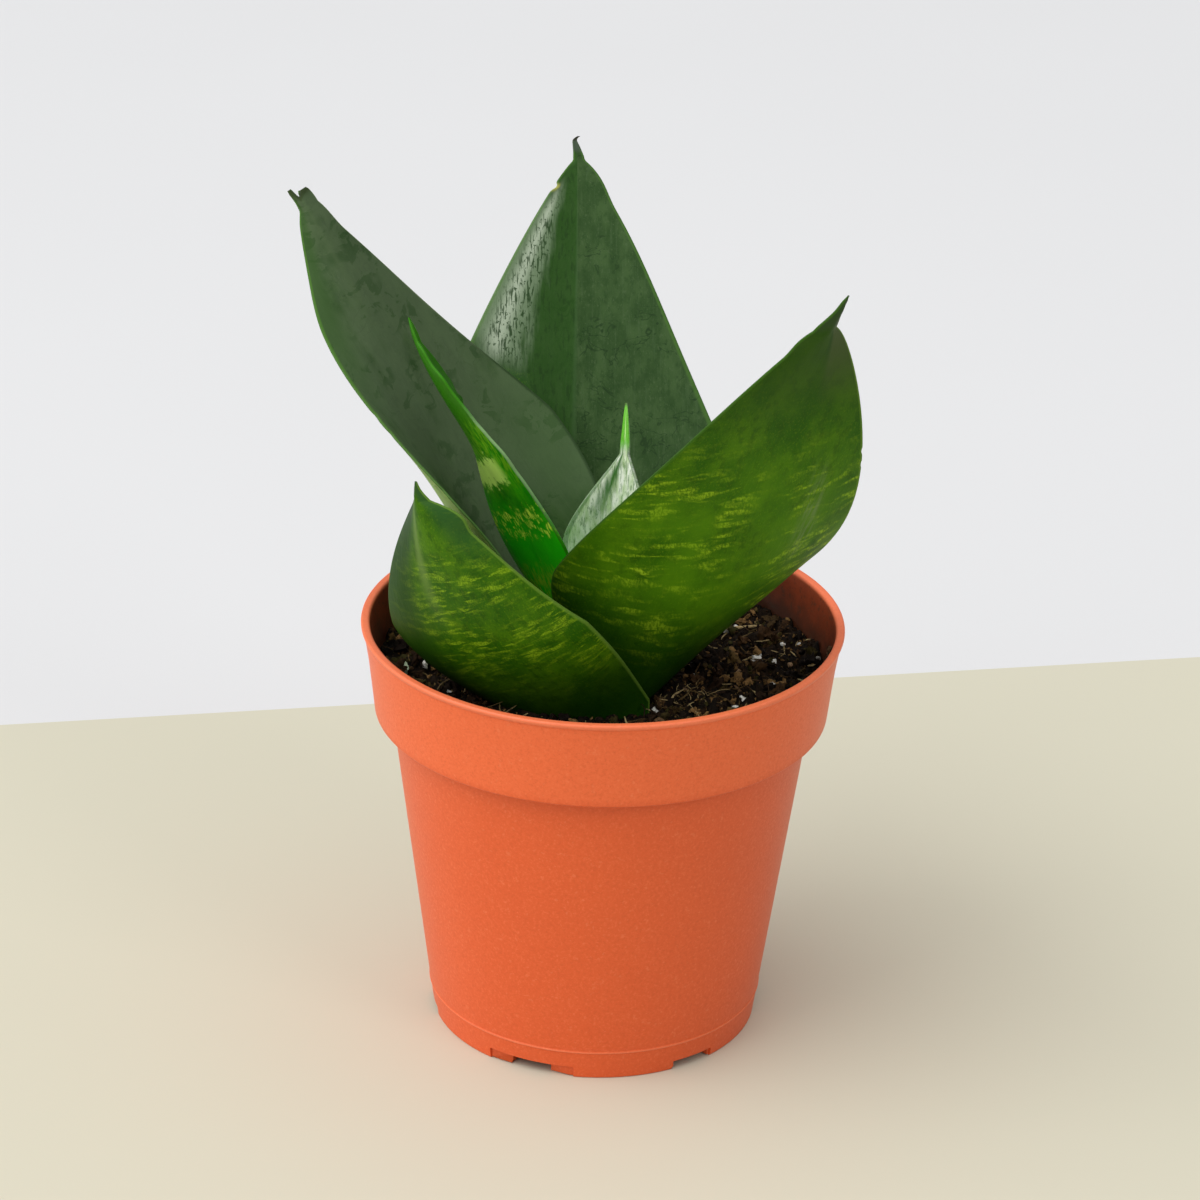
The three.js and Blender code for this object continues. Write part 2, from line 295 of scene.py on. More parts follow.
class Shader(Nodes):
    """A material whose colour is painted on in layers."""

    def __init__(self, name):
        self.material = bpy.data.materials.new(name)
        self.material.use_nodes = True
        super().__init__(self.material.node_tree)
        self.colour = None

    def position(self):
        """The place on the object, in metres in its own frame."""
        return self.node("TexCoord", {}, "Object")

    def attribute(self, name):
        return self.node("Attribute", {}, "Fac", attribute_name=name)

    def vector(self, x, y, z):
        return self.node("CombineXYZ", {0: x, 1: y, 2: z})

    def apart(self, vector):
        """The x, y and z of a vector."""
        return [self.node("SeparateXYZ", {0: vector}, axis) for axis in "XYZ"]

    def noise(self, vector, scale, detail=2.0, roughness=0.5, distortion=0.0):
        return self.node("TexNoise", {"Vector": vector, "Scale": scale, "Detail": detail,
                                      "Roughness": roughness, "Distortion": distortion})

    def mix(self, factor, a, b):
        """Colour a where the factor is 0, and b where it is 1."""
        return self.node("Mix", {0: factor, 6: a, 7: b}, 2, data_type="RGBA")

    def paint(self, mask, colour, amount=1.0):
        """Lays a colour over what is there, where the mask is 1."""
        self.colour = self.mix(mask if amount == 1.0 else mask * amount, self.colour, colour)

    def finish(self, roughness, specular, relief=None, height=0.0, strength=1.0, tint=(1, 1, 1)):
        """The finished material. Its relief stands height millimetres out of the surface."""
        inputs = {"Base Color": self.colour, "Roughness": roughness,
                  "Specular IOR Level": specular, "Specular Tint": tint}
        if relief:
            inputs["Normal"] = self.node("Bump", {"Height": relief, "Distance": height * MM,
                                                  "Strength": strength})
        for name, value in inputs.items():
            self.feed(self.nodes["Principled BSDF"].inputs[name], value)
        return self.material


# ---- Pot ----
POT_STEPS = 240
POT_SHARP_ANGLE = 32
FOOT_ROUND = 0.25
MOULD_LINE_HEIGHT = 7.0
MOULD_LINE_PROUD = 0.18
MOULD_LINE_HALF = 0.12  # of its flat top
MOULD_LINE_REACH = 0.35
TAB_RADIUS = 36.6  # the foot ring's outside, which shows in the notches
WIDE_NOTCH = (NOTCH_WIDTH, 2.8)  # width and height
NARROW_NOTCH = (DRAIN_WIDTH + 2, NOTCH_HEIGHT)
COLLAR_ROUND = 0.6
COLLAR_EDGE_RADIUS = 50.9
COLLAR_PROFILE = [(51.6, 82.0), (52.3, 88.0), (52.85, 91.5), (53.4, 94.8)]  # radius, height
LIP_ROUND = 0.5
NOTCH_CORNER = 0.5
DRAIN_CORNER = 1.4
INNER_LIMIT = 51.3  # a radius within the collar's wall, at the soil's level
WALL_SLOPE = 0.12


def body_radius(height):
    return FOOT_RADIUS + (BODY_TOP_RADIUS - FOOT_RADIUS) * height / BODY_TOP


def pot_outside():
    """The outside from the foot to the top of the lip."""
    line = MOULD_LINE_HEIGHT
    low, high = line - MOULD_LINE_REACH, line + MOULD_LINE_REACH
    proud = body_radius(line) + MOULD_LINE_PROUD
    body = [(FOOT_RADIUS - FOOT_ROUND, 0.0), (FOOT_RADIUS, FOOT_ROUND), (body_radius(low), low),
            (proud, line - MOULD_LINE_HALF), (proud, line + MOULD_LINE_HALF),
            (body_radius(high), high)]
    body += [(body_radius(z), z) for z in np.linspace(12, COLLAR_FOOT - 0.8, 8)]
    corner = body_radius(COLLAR_FOOT)
    under = arc((corner + 0.5, COLLAR_FOOT - 0.75), 0.5, 170, 100, 4)
    edge = (COLLAR_EDGE_RADIUS - COLLAR_ROUND, COLLAR_FOOT - 0.2 + COLLAR_ROUND)
    under += arc(edge, COLLAR_ROUND, -88, -4, 10)
    top_radius, top = COLLAR_PROFILE[-1]
    lip = [(top_radius + 0.03, top + 0.25), (top_radius + 0.35, top + 0.5)]
    lip += arc((RIM_RADIUS - LIP_ROUND, POT_HEIGHT - LIP_ROUND), LIP_ROUND, -20, 90, 10)
    return body + under + COLLAR_PROFILE + lip


def pot_inside():
    """The inside from the lip down to the floor."""
    lip = arc((RIM_RADIUS - 1.3, POT_HEIGHT - 0.7), 0.7, 90, 170, 6)
    corner = body_radius(COLLAR_FOOT) - WALL
    wall = [(RIM_RADIUS - WALL - 1.2, POT_HEIGHT - LIP_HEIGHT),
            (COLLAR_EDGE_RADIUS - WALL, COLLAR_FOOT + 3.0),
            (COLLAR_EDGE_RADIUS - WALL - 0.8, COLLAR_FOOT + 1.9),
            (corner + 0.3, COLLAR_FOOT + 1.2), (corner, COLLAR_FOOT + 0.6),
            (body_radius(FLOOR_TOP) - WALL, FLOOR_TOP)]
    return lip + wall


def ring_cutter(centre, width, inner, outer, height, corner):
    """A block on the foot ring that spans width degrees and has its two upper corners rounded."""
    middle = (inner + outer) / 2
    half = math.radians(width / 2) * middle
    outline = [(-half, -1.0), (half, -1.0)]
    outline += arc((half - corner, height - corner), corner, 0, 90, 6)
    outline += arc((-half + corner, height - corner), corner, 90, 180, 6)
    fine = []
    for (x0, z0), (x1, z1) in zip(outline, outline[1:] + outline[:1]):
        count = max(1, int(abs(x1 - x0) / 1.5))
        fine += [(x0 + (x1 - x0) * k / count, z0 + (z1 - z0) * k / count) for k in range(count)]
    points = []
    for radius in (inner, outer):
        for x, z in fine:
            angle = math.radians(centre) + x / middle
            points.append((radius * math.cos(angle), radius * math.sin(angle), z))
    count = len(fine)
    faces = grid_faces(2, count)
    faces += [tuple(range(count - 1, -1, -1)), tuple(range(count, 2 * count))]
    return make_object("cutter", points, faces, None)


def make_pot(material):
    """The pot in one piece, with its notches, drain slots and centre hole cut out."""
    underside = [(0, FLOOR_HEIGHT), (FOOT_RING_RADIUS - WALL, FLOOR_HEIGHT),
                 (FOOT_RING_RADIUS - WALL, FOOT_RING_CLEAR), (TAB_RADIUS, FOOT_RING_CLEAR),
                 (TAB_RADIUS, 0)]
    profile = underside + pot_outside() + pot_inside() + [(0, FLOOR_TOP)]
    pot = make_object("pot_shell", *lathe(profile, POT_STEPS), material)
    past = FOOT_RADIUS + 2
    slot = (DRAIN_WIDTH, DRAIN_INNER_RADIUS, FOOT_RING_RADIUS, DRAIN_HEIGHT, DRAIN_CORNER)
    cutters = []
    for i in range(NOTCH_COUNT):
        width, height = NARROW_NOTCH if i % 2 else WIDE_NOTCH
        notch = (width, TAB_RADIUS, past, height, NOTCH_CORNER)
        outlet = (DRAIN_WIDTH, TAB_RADIUS - 3, past, height - 0.1, NOTCH_CORNER)
        for cut in (notch, outlet, slot):
            cutters.append(ring_cutter(NOTCH_CENTRE + i * 360 / NOTCH_COUNT, *cut))
    hole = [(0, -1), (CENTRE_HOLE_RADIUS, -1), (CENTRE_HOLE_RADIUS, 12), (0, 12)]
    cutters.append(make_object("cutter", *lathe(hole, 48), None))
    subtract(pot, cutters)
    pot.data.shade_smooth()
    pot.data.set_sharp_from_angle(angle=math.radians(POT_SHARP_ANGLE))
    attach(pot, "root")
    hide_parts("pot")


def pot_material():
    """Terracotta-coloured plastic with a fine grain and dust spots inside, painted highlights on
    the collar, mould line and lip, a painted shadow under the collar and painted shade on the inner
    wall.
    """
    shader = Shader("pot_plastic")
    where = shader.position()
    x, y, z = shader.apart(where)

    def rise(low, high):
        """1 above the height high, in millimetres, and 0 below low."""
        return z.step(low * MM, high * MM)

    grain = shader.noise(where, 1500, 4, 0.75)
    cloud = shader.noise(where, 26, 4, 0.6)
    fleck = shader.noise(where, 900).step(0.64, 0.72)
    shader.colour = shader.mix(cloud, (0.72, 0.100, 0.020), (0.80, 0.119, 0.025))
    # painted highlight: the collar is painted paler, as if more brightly lit
    shader.paint(rise(COLLAR_FOOT - 0.3, COLLAR_FOOT + 2), (0.92, 0.170, 0.050), 0.50)
    shader.paint(grain.step(0.50, 0.66), (0.58, 0.076, 0.014), 0.30)
    shader.paint(grain.step(0.48, 0.34), (0.92, 0.215, 0.085), 0.30)
    shader.paint(fleck, (0.90, 0.28, 0.13), 0.22)
    # painted highlight: a pale line along the proud mould line
    shader.paint(z.bell(MOULD_LINE_HEIGHT * MM, MOULD_LINE_REACH * MM), (0.92, 0.34, 0.18), 0.3)
    # painted highlight: the top of the lip is painted paler
    shader.paint(rise(POT_HEIGHT - 1.3, POT_HEIGHT - 0.8), (0.95, 0.30, 0.16), 0.3)
    # painted shadow: a dark band just under the collar's edge
    corner = z.bell(COLLAR_FOOT * MM, 2.2 * MM) * rise(COLLAR_FOOT + 0.1, COLLAR_FOOT - 0.3)
    shader.paint(corner, (0.36, 0.040, 0.007), 0.60)

    # the inner face, told from the outer one by a cone within the wall, which leans out a little
    far = shader.math("SQRT", (x - POT_X) ** 2 + (y - POT_Y) ** 2)
    cone = (z - SOIL_LEVEL * MM) * WALL_SLOPE + INNER_LIMIT * MM
    inside = (far - cone).step(0.2 * MM, -0.2 * MM) * (
        rise(COLLAR_FOOT + 3, COLLAR_FOOT + 4) * rise(POT_HEIGHT - 0.3, POT_HEIGHT - 1.2))
    # painted shade on the inner wall: darker all over, and darkest below a ragged line near the
    # soil
    ragged = z + shader.noise(where, 160, 4, 0.7) * -0.012
    soil_line_shade = inside * ragged.step((SOIL_LEVEL + 7) * MM, (SOIL_LEVEL - 7) * MM)
    shader.paint(inside, (0.13, 0.020, 0.005), 0.80)
    shader.paint(soil_line_shade, (0.035, 0.012, 0.004), 0.92)
    dust = inside * shader.noise(where, 620, 3, 0.6).step(0.57, 0.64)
    shader.paint(dust, (0.05, 0.025, 0.012), 0.6)
    return shader.finish(0.32 + grain * 0.22, 0.4, grain + cloud * 1.5, 0.03, 0.6)


# ---- Leaves ----
# The leaves of the part's source, with a few values closer to the photo: root, length, width and
# sheath in millimetres; heading, lean, twist, cup and fold in degrees, and thickness in
# millimetres, at the base, the middle and the tip. Each of the swells says where a margin leaves
# the even outline: the share of the length, how far that reaches, the side, and how much wider it
# is there. The spike and its point have half widths.
OLD_BLADE = (2.6, 2.2, 1.2)
LEAVES = {
    "leaf_back": dict(
        root=(-5, 7, 79), length=123.2, heading=(103, 91, 95), lean=(27, 29, 28), twist=(-3, 3, -5),
        width=66, widest=0.47, base=0.22, shoulder=1.0, fullness=0.80, spike=4.8, sheath=1,
        cup=(62, 15, 13), fold=(12, 9, 9), thickness=OLD_BLADE, spike_half=0.65, point=0.2,
        swells=[(0.93, 0.07, 1, 1.1), (0.60, 0.24, 1, -0.5), (0.905, 0.010, -1, -0.8)]),
    "leaf_left": dict(
        root=(-7, -3, 81), length=128.4, heading=(167, 167, 162), lean=(30, 29, 34),
        twist=(-45, -7, -50), width=63, widest=0.43, base=0.43, shoulder=1.2, fullness=1.0, spike=1,
        sheath=0.5, cup=(85, 40, -16), fold=(23, 0, -16), thickness=OLD_BLADE,
        spike_half=1.9, point=1.7,
        swells=[(0.96, 0.07, 1, 1.3), (0.975, 0.04, -1, -0.5), (0.86, 0.10, -1, -0.7),
                (0.62, 0.012, -1, -0.35), (0.585, 0.010, -1, -0.3), (0.47, 0.014, -1, -0.35)]),
    "leaf_right": dict(
        root=(4, -17, 80), length=127, heading=(-9, -42, -46), lean=(37, 22.5, 31),
        twist=(-34, -26, 6), width=67, widest=0.26, base=0.43, shoulder=1.45, fullness=0.68,
        spike=9, sheath=3, cup=(80, 15, 6), fold=(19, 1, 4), thickness=OLD_BLADE,
        spike_half=1.7, point=0.12,
        swells=[(0.915, 0.055, 1, 2.3), (0.63, 0.010, -1, -0.3), (0.60, 0.008, -1, -0.25)]),
    "leaf_front": dict(
        root=(-4, -21, 76), length=84, heading=(201, 215, 186), lean=(44, 34, 4),
        twist=(36, 27, 20), width=54, widest=0.5, base=0.74, shoulder=1.1, fullness=0.51, spike=4,
        sheath=5,
        cup=(48, 43, 29), fold=(7, -10, 19), thickness=OLD_BLADE, spike_half=1.0, point=0.25,
        swells=[(0.925, 0.07, -1, 3.2)]),
    "leaf_young": dict(
        root=(-4.5, -10.5, 81), length=100, heading=(175, 195, 121), lean=(6, 27.5, 36),
        twist=(12, 22, 27), width=27, widest=0.46, base=0.36, shoulder=1.55, fullness=0.92, spike=4,
        sheath=1, cup=(70, 21, 56), fold=(-11, -10, 22), thickness=(1.8, 1.6, 1.0),
        spike_half=0.7, point=0.15,
        swells=[(0.92, 0.03, -1, 0.5), (0.85, 0.035, -1, 0.7), (0.745, 0.03, -1, -0.4),
                (0.665, 0.05, -1, 0.9), (0.60, 0.05, -1, 0.2), (0.83, 0.025, 1, 0.3),
                (0.775, 0.025, 1, 2.0), (0.70, 0.05, 1, -0.7)]),
    "leaf_spear": dict(
        root=(2, -11.5, 82.5), length=68, heading=(74, 68, 96), lean=(7, 5, 25),
        twist=(-28, -17, -39), width=26.5, widest=0.6, base=0.17, shoulder=1.43, fullness=1.18,
        spike=9, sheath=1,
        cup=(88, 38, 27), fold=(-2, 0, 11), thickness=(1.6, 1.4, 1.0), spike_half=0.9, point=0.15,
        swells=[]),
}
EDGE_THICKNESS = 0.6
FOLD_SHARE = 0.12
LEAF_ROWS = 170
LEAF_COLUMNS = 56  # across one face
CAP_STEPS = 4  # round the margin, from one face to the other
BLADE_SHARP_ANGLE = 75


def along(values, s):
    """The curve through a leaf's values at s = 0, 1/2 and 1."""
    base, middle, tip = values
    return base * (2 * s - 1) * (s - 1) + middle * 4 * s * (1 - s) + tip * s * (2 * s - 1)


def half_width(leaf, s):
    spike_share = leaf["spike"] / leaf["length"]
    blade_share = np.clip(s / (1 - spike_share), 0, 1)
    rise = np.sin(math.pi / 2 * np.clip(blade_share / leaf["widest"], 0, 1))
    past = ramp(blade_share, leaf["widest"], 1)
    outline = np.where(past > 0, (1 - past ** leaf["shoulder"]) ** leaf["fullness"],
                       leaf["base"] + (1 - leaf["base"]) * rise)
    spike = leaf["point"] + (leaf["spike_half"] - leaf["point"]) * ramp(s, 1, 1 - spike_share)
    return np.maximum(leaf["width"] / 2 * outline - EDGE_THICKNESS / 2, spike)


def margin_swell(leaf, s, side):
    """How much further out a margin stands than its even outline."""
    total = np.zeros_like(s)
    for share, reach, which, amount in leaf["swells"]:
        if which == side:
            total += amount * np.cos(math.pi / 2 * np.clip((s - share) / reach, -1, 1)) ** 2
    return total


def midrib(leaf, s):
    """The midrib's points, and the blade's axes there: forward, across and up out of it."""
    heading, lean, twist = (np.radians(along(leaf[key], s)) for key in ("heading", "lean", "twist"))
    forward = np.stack([np.sin(lean) * np.cos(heading), np.sin(lean) * np.sin(heading),
                        np.cos(lean)], 1)
    level = np.stack([-np.cos(lean) * np.cos(heading), -np.cos(lean) * np.sin(heading),
                      np.sin(lean)], 1)
    side = np.cross(forward, level)
    turn_cos, turn_sin = np.cos(twist)[:, None], np.sin(twist)[:, None]
    across = turn_cos * side - turn_sin * level
    upper = turn_cos * level + turn_sin * side
    steps = (forward[1:] + forward[:-1]) / 2 * np.diff(s)[:, None] * leaf["length"]
    points = np.concatenate([[leaf["root"]], np.array(leaf["root"]) + np.cumsum(steps, 0)])
    return points, forward, across, upper


def sections(leaf, s, v):
    """Where each column v lies in the cross-section at each s, for a half width of 1: its place
    across and up, and its slope."""
    fine = np.linspace(-1, 1, 241)
    cup = np.radians(along(leaf["cup"], s))[:, None]
    fold = np.radians(along(leaf["fold"], s))[:, None]
    slope = fold * np.tanh(fine / FOLD_SHARE) + cup * fine
    gap = fine[1] - fine[0]
    middle = len(fine) // 2

    def integral(values):
        total = np.concatenate([np.zeros((len(s), 1)),
                                np.cumsum((values[:, 1:] + values[:, :-1]) / 2, 1)], 1) * gap
        return total - total[:, middle:middle + 1]

    flat, up = integral(np.cos(slope)), integral(np.sin(slope))
    return [np.stack([np.interp(v, fine, row) for row in table]) for table in (flat, up, slope)]


def blade_loops(name, leaf, s, v):
    """A loop of points round the blade at each s, that runs over the upper face, the right margin,
    the lower face and the left margin. Returns the half widths too."""
    centre, forward, across, upper = midrib(leaf, s)
    half = half_width(leaf, s)
    flat, up, slope = (table[..., None] for table in sections(leaf, s, v))
    left, right = (margin_swell(leaf, s, side)[:, None] for side in (-1, 1))
    reach = half[:, None] + np.where(v < 0, left, right) * np.abs(v) ** 3
    side, rise = across[:, None], upper[:, None]
    surface = centre[:, None] + reach[..., None] * (flat * side + up * rise)
    normal = np.cos(slope) * rise - np.sin(slope) * side
    outward = np.cos(slope) * side + np.sin(slope) * rise

    middle = np.minimum(along(np.array(leaf["thickness"]), s), np.maximum(1.5 * half, 0.3))
    edge = np.minimum(EDGE_THICKNESS, middle)
    thickness = edge[:, None] + (middle - edge)[:, None] * (1 - np.abs(v) ** 2.5)
    wave = surface_wave(name, s[:, None], v)
    top = surface + normal * (thickness / 2 + wave)[..., None]
    bottom = surface - normal * (thickness / 2 - wave)[..., None]

    turn = np.linspace(0, math.pi, CAP_STEPS + 2)[1:-1, None]
    caps = []
    for column, sign in ((-1, 1), (0, -1)):
        rim = surface[:, column] + normal[:, column] * wave[:, column, None]
        radius = thickness[:, column, None, None] / 2
        cap = rim[:, None] + radius * (np.sin(turn) * sign * outward[:, None, column]
                                       + np.cos(turn) * normal[:, None, column])
        caps.append(cap[:, ::sign])
    loops = np.concatenate([top, caps[0], bottom[:, ::-1], caps[1]], 1)
    shape_tip(name, loops, round_blade(v, 1, v[::-1], -1), s, forward, across)
    return loops, half


def round_blade(upper, right, lower, left):
    """One value for each point of a loop."""
    faces = [np.broadcast_to(value, LEAF_COLUMNS) for value in (upper, lower)]
    margins = [np.full(CAP_STEPS, float(value)) for value in (right, left)]
    return np.concatenate([faces[0], margins[0], faces[1], margins[1]])


def leaf_mesh(name, leaf, material):
    """One blade, with its end under the soil and its tip closed."""
    t = np.linspace(0, 1, LEAF_ROWS)
    s = 1 - (1 - t) ** 1.3  # closer together towards the tip
    v = np.sin(np.linspace(-1, 1, LEAF_COLUMNS) * math.pi / 2 * 0.9) / math.sin(math.pi / 2 * 0.9)
    loops, half = blade_loops(name, leaf, s, v)
    points = np.concatenate([loops[:1] - np.array([0, 0, leaf["sheath"]]), loops])
    rows, columns = points.shape[:2]
    faces = grid_faces(rows, columns)
    faces.append(tuple(range(columns))[::-1])
    faces += end_strip((rows - 1) * columns, columns)
    piece = make_object(name.replace("leaf", "blade"), points.reshape(-1, 3), faces, material,
                        BLADE_SHARP_ANGLE)

    share = np.concatenate([[0], s])[:, None]
    across = round_blade(v, 1, v[::-1], -1)
    half = np.concatenate([half[:1], half])[:, None]
    coordinates = {"share": share, "across": across, "face": round_blade(1, 0, -1, 0),
                   "long_mm": share * leaf["length"], "wide_mm": half * across}
    for kind, values in coordinates.items():
        add_attribute(piece, "leaf_" + kind, np.broadcast_to(values, (rows, columns)).ravel())
    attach(piece, "root")
    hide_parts(name)
    return piece


def end_strip(first, columns):
    """Closes the last loop of a blade with a strip from its upper to its lower face."""
    faces = []
    low, high = first + columns - 1, first
    while high + 1 < low:
        if high + 1 == low - 1:
            faces.append((high, high + 1, low))
        else:
            faces.append((high, high + 1, low - 1, low))
        high, low = high + 1, low - 1
    return faces


def surface_wave(name, s, v):
    """Slow swells of a blade out of its even curve, in millimetres."""
    phase = 1.7 * list(LEAVES).index(name)
    swell = 0.35 * np.sin(9 * s + 2.1 * v + phase) * v
    ribs = 0.05 * np.sin(16 * v + phase) * np.clip(1 - s, 0, 1)
    return (swell * np.clip(6 * s, 0, 1) + ribs) * np.clip(8 * (1 - s), 0, 1)


def shape_tip(name, loop, loop_v, s, forward, across):
    """Bends the dry point of the back leaf over, and splits the end of the left one."""
    if name == "leaf_back":
        bend = -0.7 * ramp(s, 0.955, 0.995) ** 2 + 1.1 * ramp(s, 0.990, 1.0) ** 2
        loop += (bend[:, None] * across)[:, None]
    if name == "leaf_left":
        middle = np.clip(1 - np.abs(loop_v + 0.15) / 0.5, 0, 1)
        depth = 3.0 * middle + 1.3 * ramp(loop_v, 0, 0.4)
        loop -= (ramp(s, 0.955, 1.0) ** 2)[:, None, None] * depth[None, :, None] * forward[:, None]


# A leaf's share runs from 0 at its foot in the soil to 1 at its tip, and across from -1 at its left
# margin to 1 at its right one, for a viewer who sees its upper face with the tip up.
LEAF_RELIEF = (0.04, 0.7)  # height in millimetres, and strength


class LeafSkin(Shader):
    """A leaf's material, with the leaf's own coordinates and patterns that lie along it."""

    def __init__(self, name, seed):
        super().__init__(name)
        self.seed = seed
        self.share = self.attribute("leaf_share")
        self.across = self.attribute("leaf_across")
        face = self.attribute("leaf_face")
        self.under = face.step(-0.2, -0.8)  # 1 on the lower face, 0 on the margin
        self.where = (self.attribute("leaf_wide_mm"), self.attribute("leaf_long_mm"), face * 40)

    def pattern(self, wide, long, low=None, high=None, detail=3.0, roughness=0.55, twirl=0.0,
                lean=0.0):
        """Noise with features wide and long millimetres across and along, turned by lean degrees.
        Low and high cut it to patches."""
        self.seed += 7.0
        x, y, z = self.where
        if lean:
            cos, sin = math.cos(math.radians(lean)), math.sin(math.radians(lean))
            x, y = x * cos + y * sin, y * cos - x * sin
        where = self.vector(x * (1 / wide), y * (1 / long), z + self.seed)
        value = self.noise(where, 1.0, detail, roughness, twirl)
        return value if low is None else value.step(low, high)

    def margin(self, start, side=0):
        """1 on both margins, or on the left (-1) or the right (1) one."""
        outward = self.across * side if side else abs(self.across)
        return outward.step(start, min(start + 0.02, 1.0))


def upper_skin(skin):
    """The dull dark green upper face: mottling, faint streaks and thin zigzag lines."""
    pattern, paint = skin.pattern, skin.paint
    skin.colour = skin.mix(pattern(5, 9, 0.38, 0.64), (0.020, 0.056, 0.010), (0.040, 0.086, 0.022))
    paint(pattern(0.6, 14, 0.52, 0.68), (0.062, 0.112, 0.044), 0.25)
    paint(pattern(1.5, 2.4, 0.50, 0.64, 4.0, 0.65), (0.013, 0.046, 0.006), 0.55)
    paint(pattern(0.9, 1.6, 0.56, 0.70, 4.0, 0.65), (0.070, 0.118, 0.046), 0.45)
    paint(pattern(0.30, 0.5, 0.58, 0.72), (0.095, 0.150, 0.065), 0.35)
    line = pattern(7, 6, None, None, 3.0, 0.6, 0.8).bell(0.5, 0.020)
    paint(line * pattern(16, 12, 0.46, 0.54), (0.006, 0.028, 0.003), 0.85)


def lower_colour(skin, flecked, lean=0.0, row=(7.0, 2.1), stroke=(0.42, 1.5), strength=0.8):
    """The brighter green lower face, with yellow flecks in broken rows across it. Rows and strokes
    are given by their width and length in millimetres, and lean by the degrees that they are
    turned. Strength says how bright the flecks are."""
    pattern, mix = skin.pattern, skin.mix
    base = mix(pattern(9, 16, 0.36, 0.66), (0.022, 0.100, 0.0012), (0.060, 0.165, 0.0018))
    base = mix(pattern(2.0, 3.4, 0.48, 0.64) * pattern(12, 9), base, (0.015, 0.066, 0.0010))
    base = mix(pattern(0.45, 0.8, 0.52, 0.68, 4.0, 0.7) * 0.50, base, (0.13, 0.25, 0.004))
    base = mix(pattern(0.4, 0.6, 0.52, 0.68, 4.0, 0.7) * 0.45, base, (0.010, 0.052, 0.0008))
    rows = pattern(*row, 0.47, 0.60, 2.0, 0.5, 0.4, lean)
    strokes = pattern(*stroke, 0.42, 0.58, 4.0, 0.7, 0.2, lean)
    clump = pattern(3.5, 1.9, 0.42, 0.58, 3.0, 0.6)
    loose = pattern(0.4, 0.6, 0.58, 0.70, 4.0, 0.7) * pattern(4, 5, 0.46, 0.62)
    fleck = rows * strokes * (clump * 0.65 + 0.35) | loose * 0.55
    base = mix(rows * flecked * (clump * (0.8 * strength)), base, (0.15, 0.28, 0.003))
    return mix(fleck * flecked * strength, base, (0.34, 0.53, 0.020))


def dark_leaf_material(name, seed, upper, specular, pale):
    """A leaf that shows its upper face, to which upper adds what is its own. Its lower face gets
    pale between two shares of the length."""
    skin = LeafSkin(name, seed)
    upper_skin(skin)
    dull = upper(skin)
    skin.paint(skin.under, lower_colour(skin, skin.pattern(18, 18, 0.42, 0.60)))
    fading = skin.under * skin.share.step(*pale) * skin.pattern(2.5, 9, 0.10, 0.60)
    skin.paint(fading, (0.32, 0.52, 0.11), 0.85)
    # darker towards the foot: partly the leaf's own colour, partly painted shade among the crowded
    # leaf bases
    skin.paint(skin.share.step(0.20, 0.02), (0.012, 0.052, 0.004), 0.5)
    grain = skin.pattern(0.5, 5)
    relief = grain + skin.pattern(0.3, 0.6) * 0.6
    return skin.finish(dull + grain * 0.2, specular, relief, *LEAF_RELIEF, (0.85, 1.0, 0.75))


def back_upper(skin):
    """The back leaf: a saturated stripe left of its midrib, with a painted dark reflection, and a
    glossy band left of that, painted pale as a painted highlight.
    """
    share, across, pattern, paint = skin.share, skin.across, skin.pattern, skin.paint
    ragged = across + (pattern(1.2, 9) - 0.5) * 0.3
    # painted dark reflection: left of the midrib is painted darker and more saturated
    left = across.step(0.03, -0.02)
    paint(left, (0.016, 0.070, 0.004), 0.7)
    paint(left * pattern(1.0, 3.5, 0.50, 0.64, 4.0, 0.65), (0.008, 0.036, 0.003), 0.6)
    # painted highlight: a pale silver band left of the stripe, which is also made glossier
    low = (share + ragged * 0.10).step(0.48, 0.54)
    band = ragged.step(-0.38, -0.58) * share.step(0.93, 0.85) * low
    paint(band, (0.15, 0.22, 0.12), 0.8)
    paint(band * across.bell(-0.78, 0.18), (0.48, 0.55, 0.42), 0.7)
    crack = band * (pattern(0.45, 4.0, 0.52, 0.60) | pattern(0.7, 1.0, 0.56, 0.64))
    crack = crack * across.step(-0.99, -0.82)
    paint(crack, (0.006, 0.035, 0.002), 0.85)
    low_left = across.bell(-0.72, 0.42) * share.step(0.57, 0.51) * share.step(0.40, 0.46)
    paint(low_left, (0.020, 0.150, 0.003), 0.7)
    paint(low_left * pattern(0.5, 0.9, 0.55, 0.63), (0.26, 0.46, 0.04), 0.85)
    paint(across.bell(0.0, 0.03), (0.05, 0.11, 0.035), 0.35)
    paint(skin.margin(0.965), (0.070, 0.180, 0.020), 0.45)
    nick = share.bell(0.903, 0.012) * across.step(-0.8, -0.95)
    paint(nick, (0.45, 0.42, 0.10), 0.8)
    paint(share.step(0.966, 0.978), (0.055, 0.075, 0.055), 0.8)  # the dry point
    paint(share.step(0.988, 0.995), (0.020, 0.016, 0.010), 0.9)
    return 0.50 + band * -0.38 + crack * 0.30


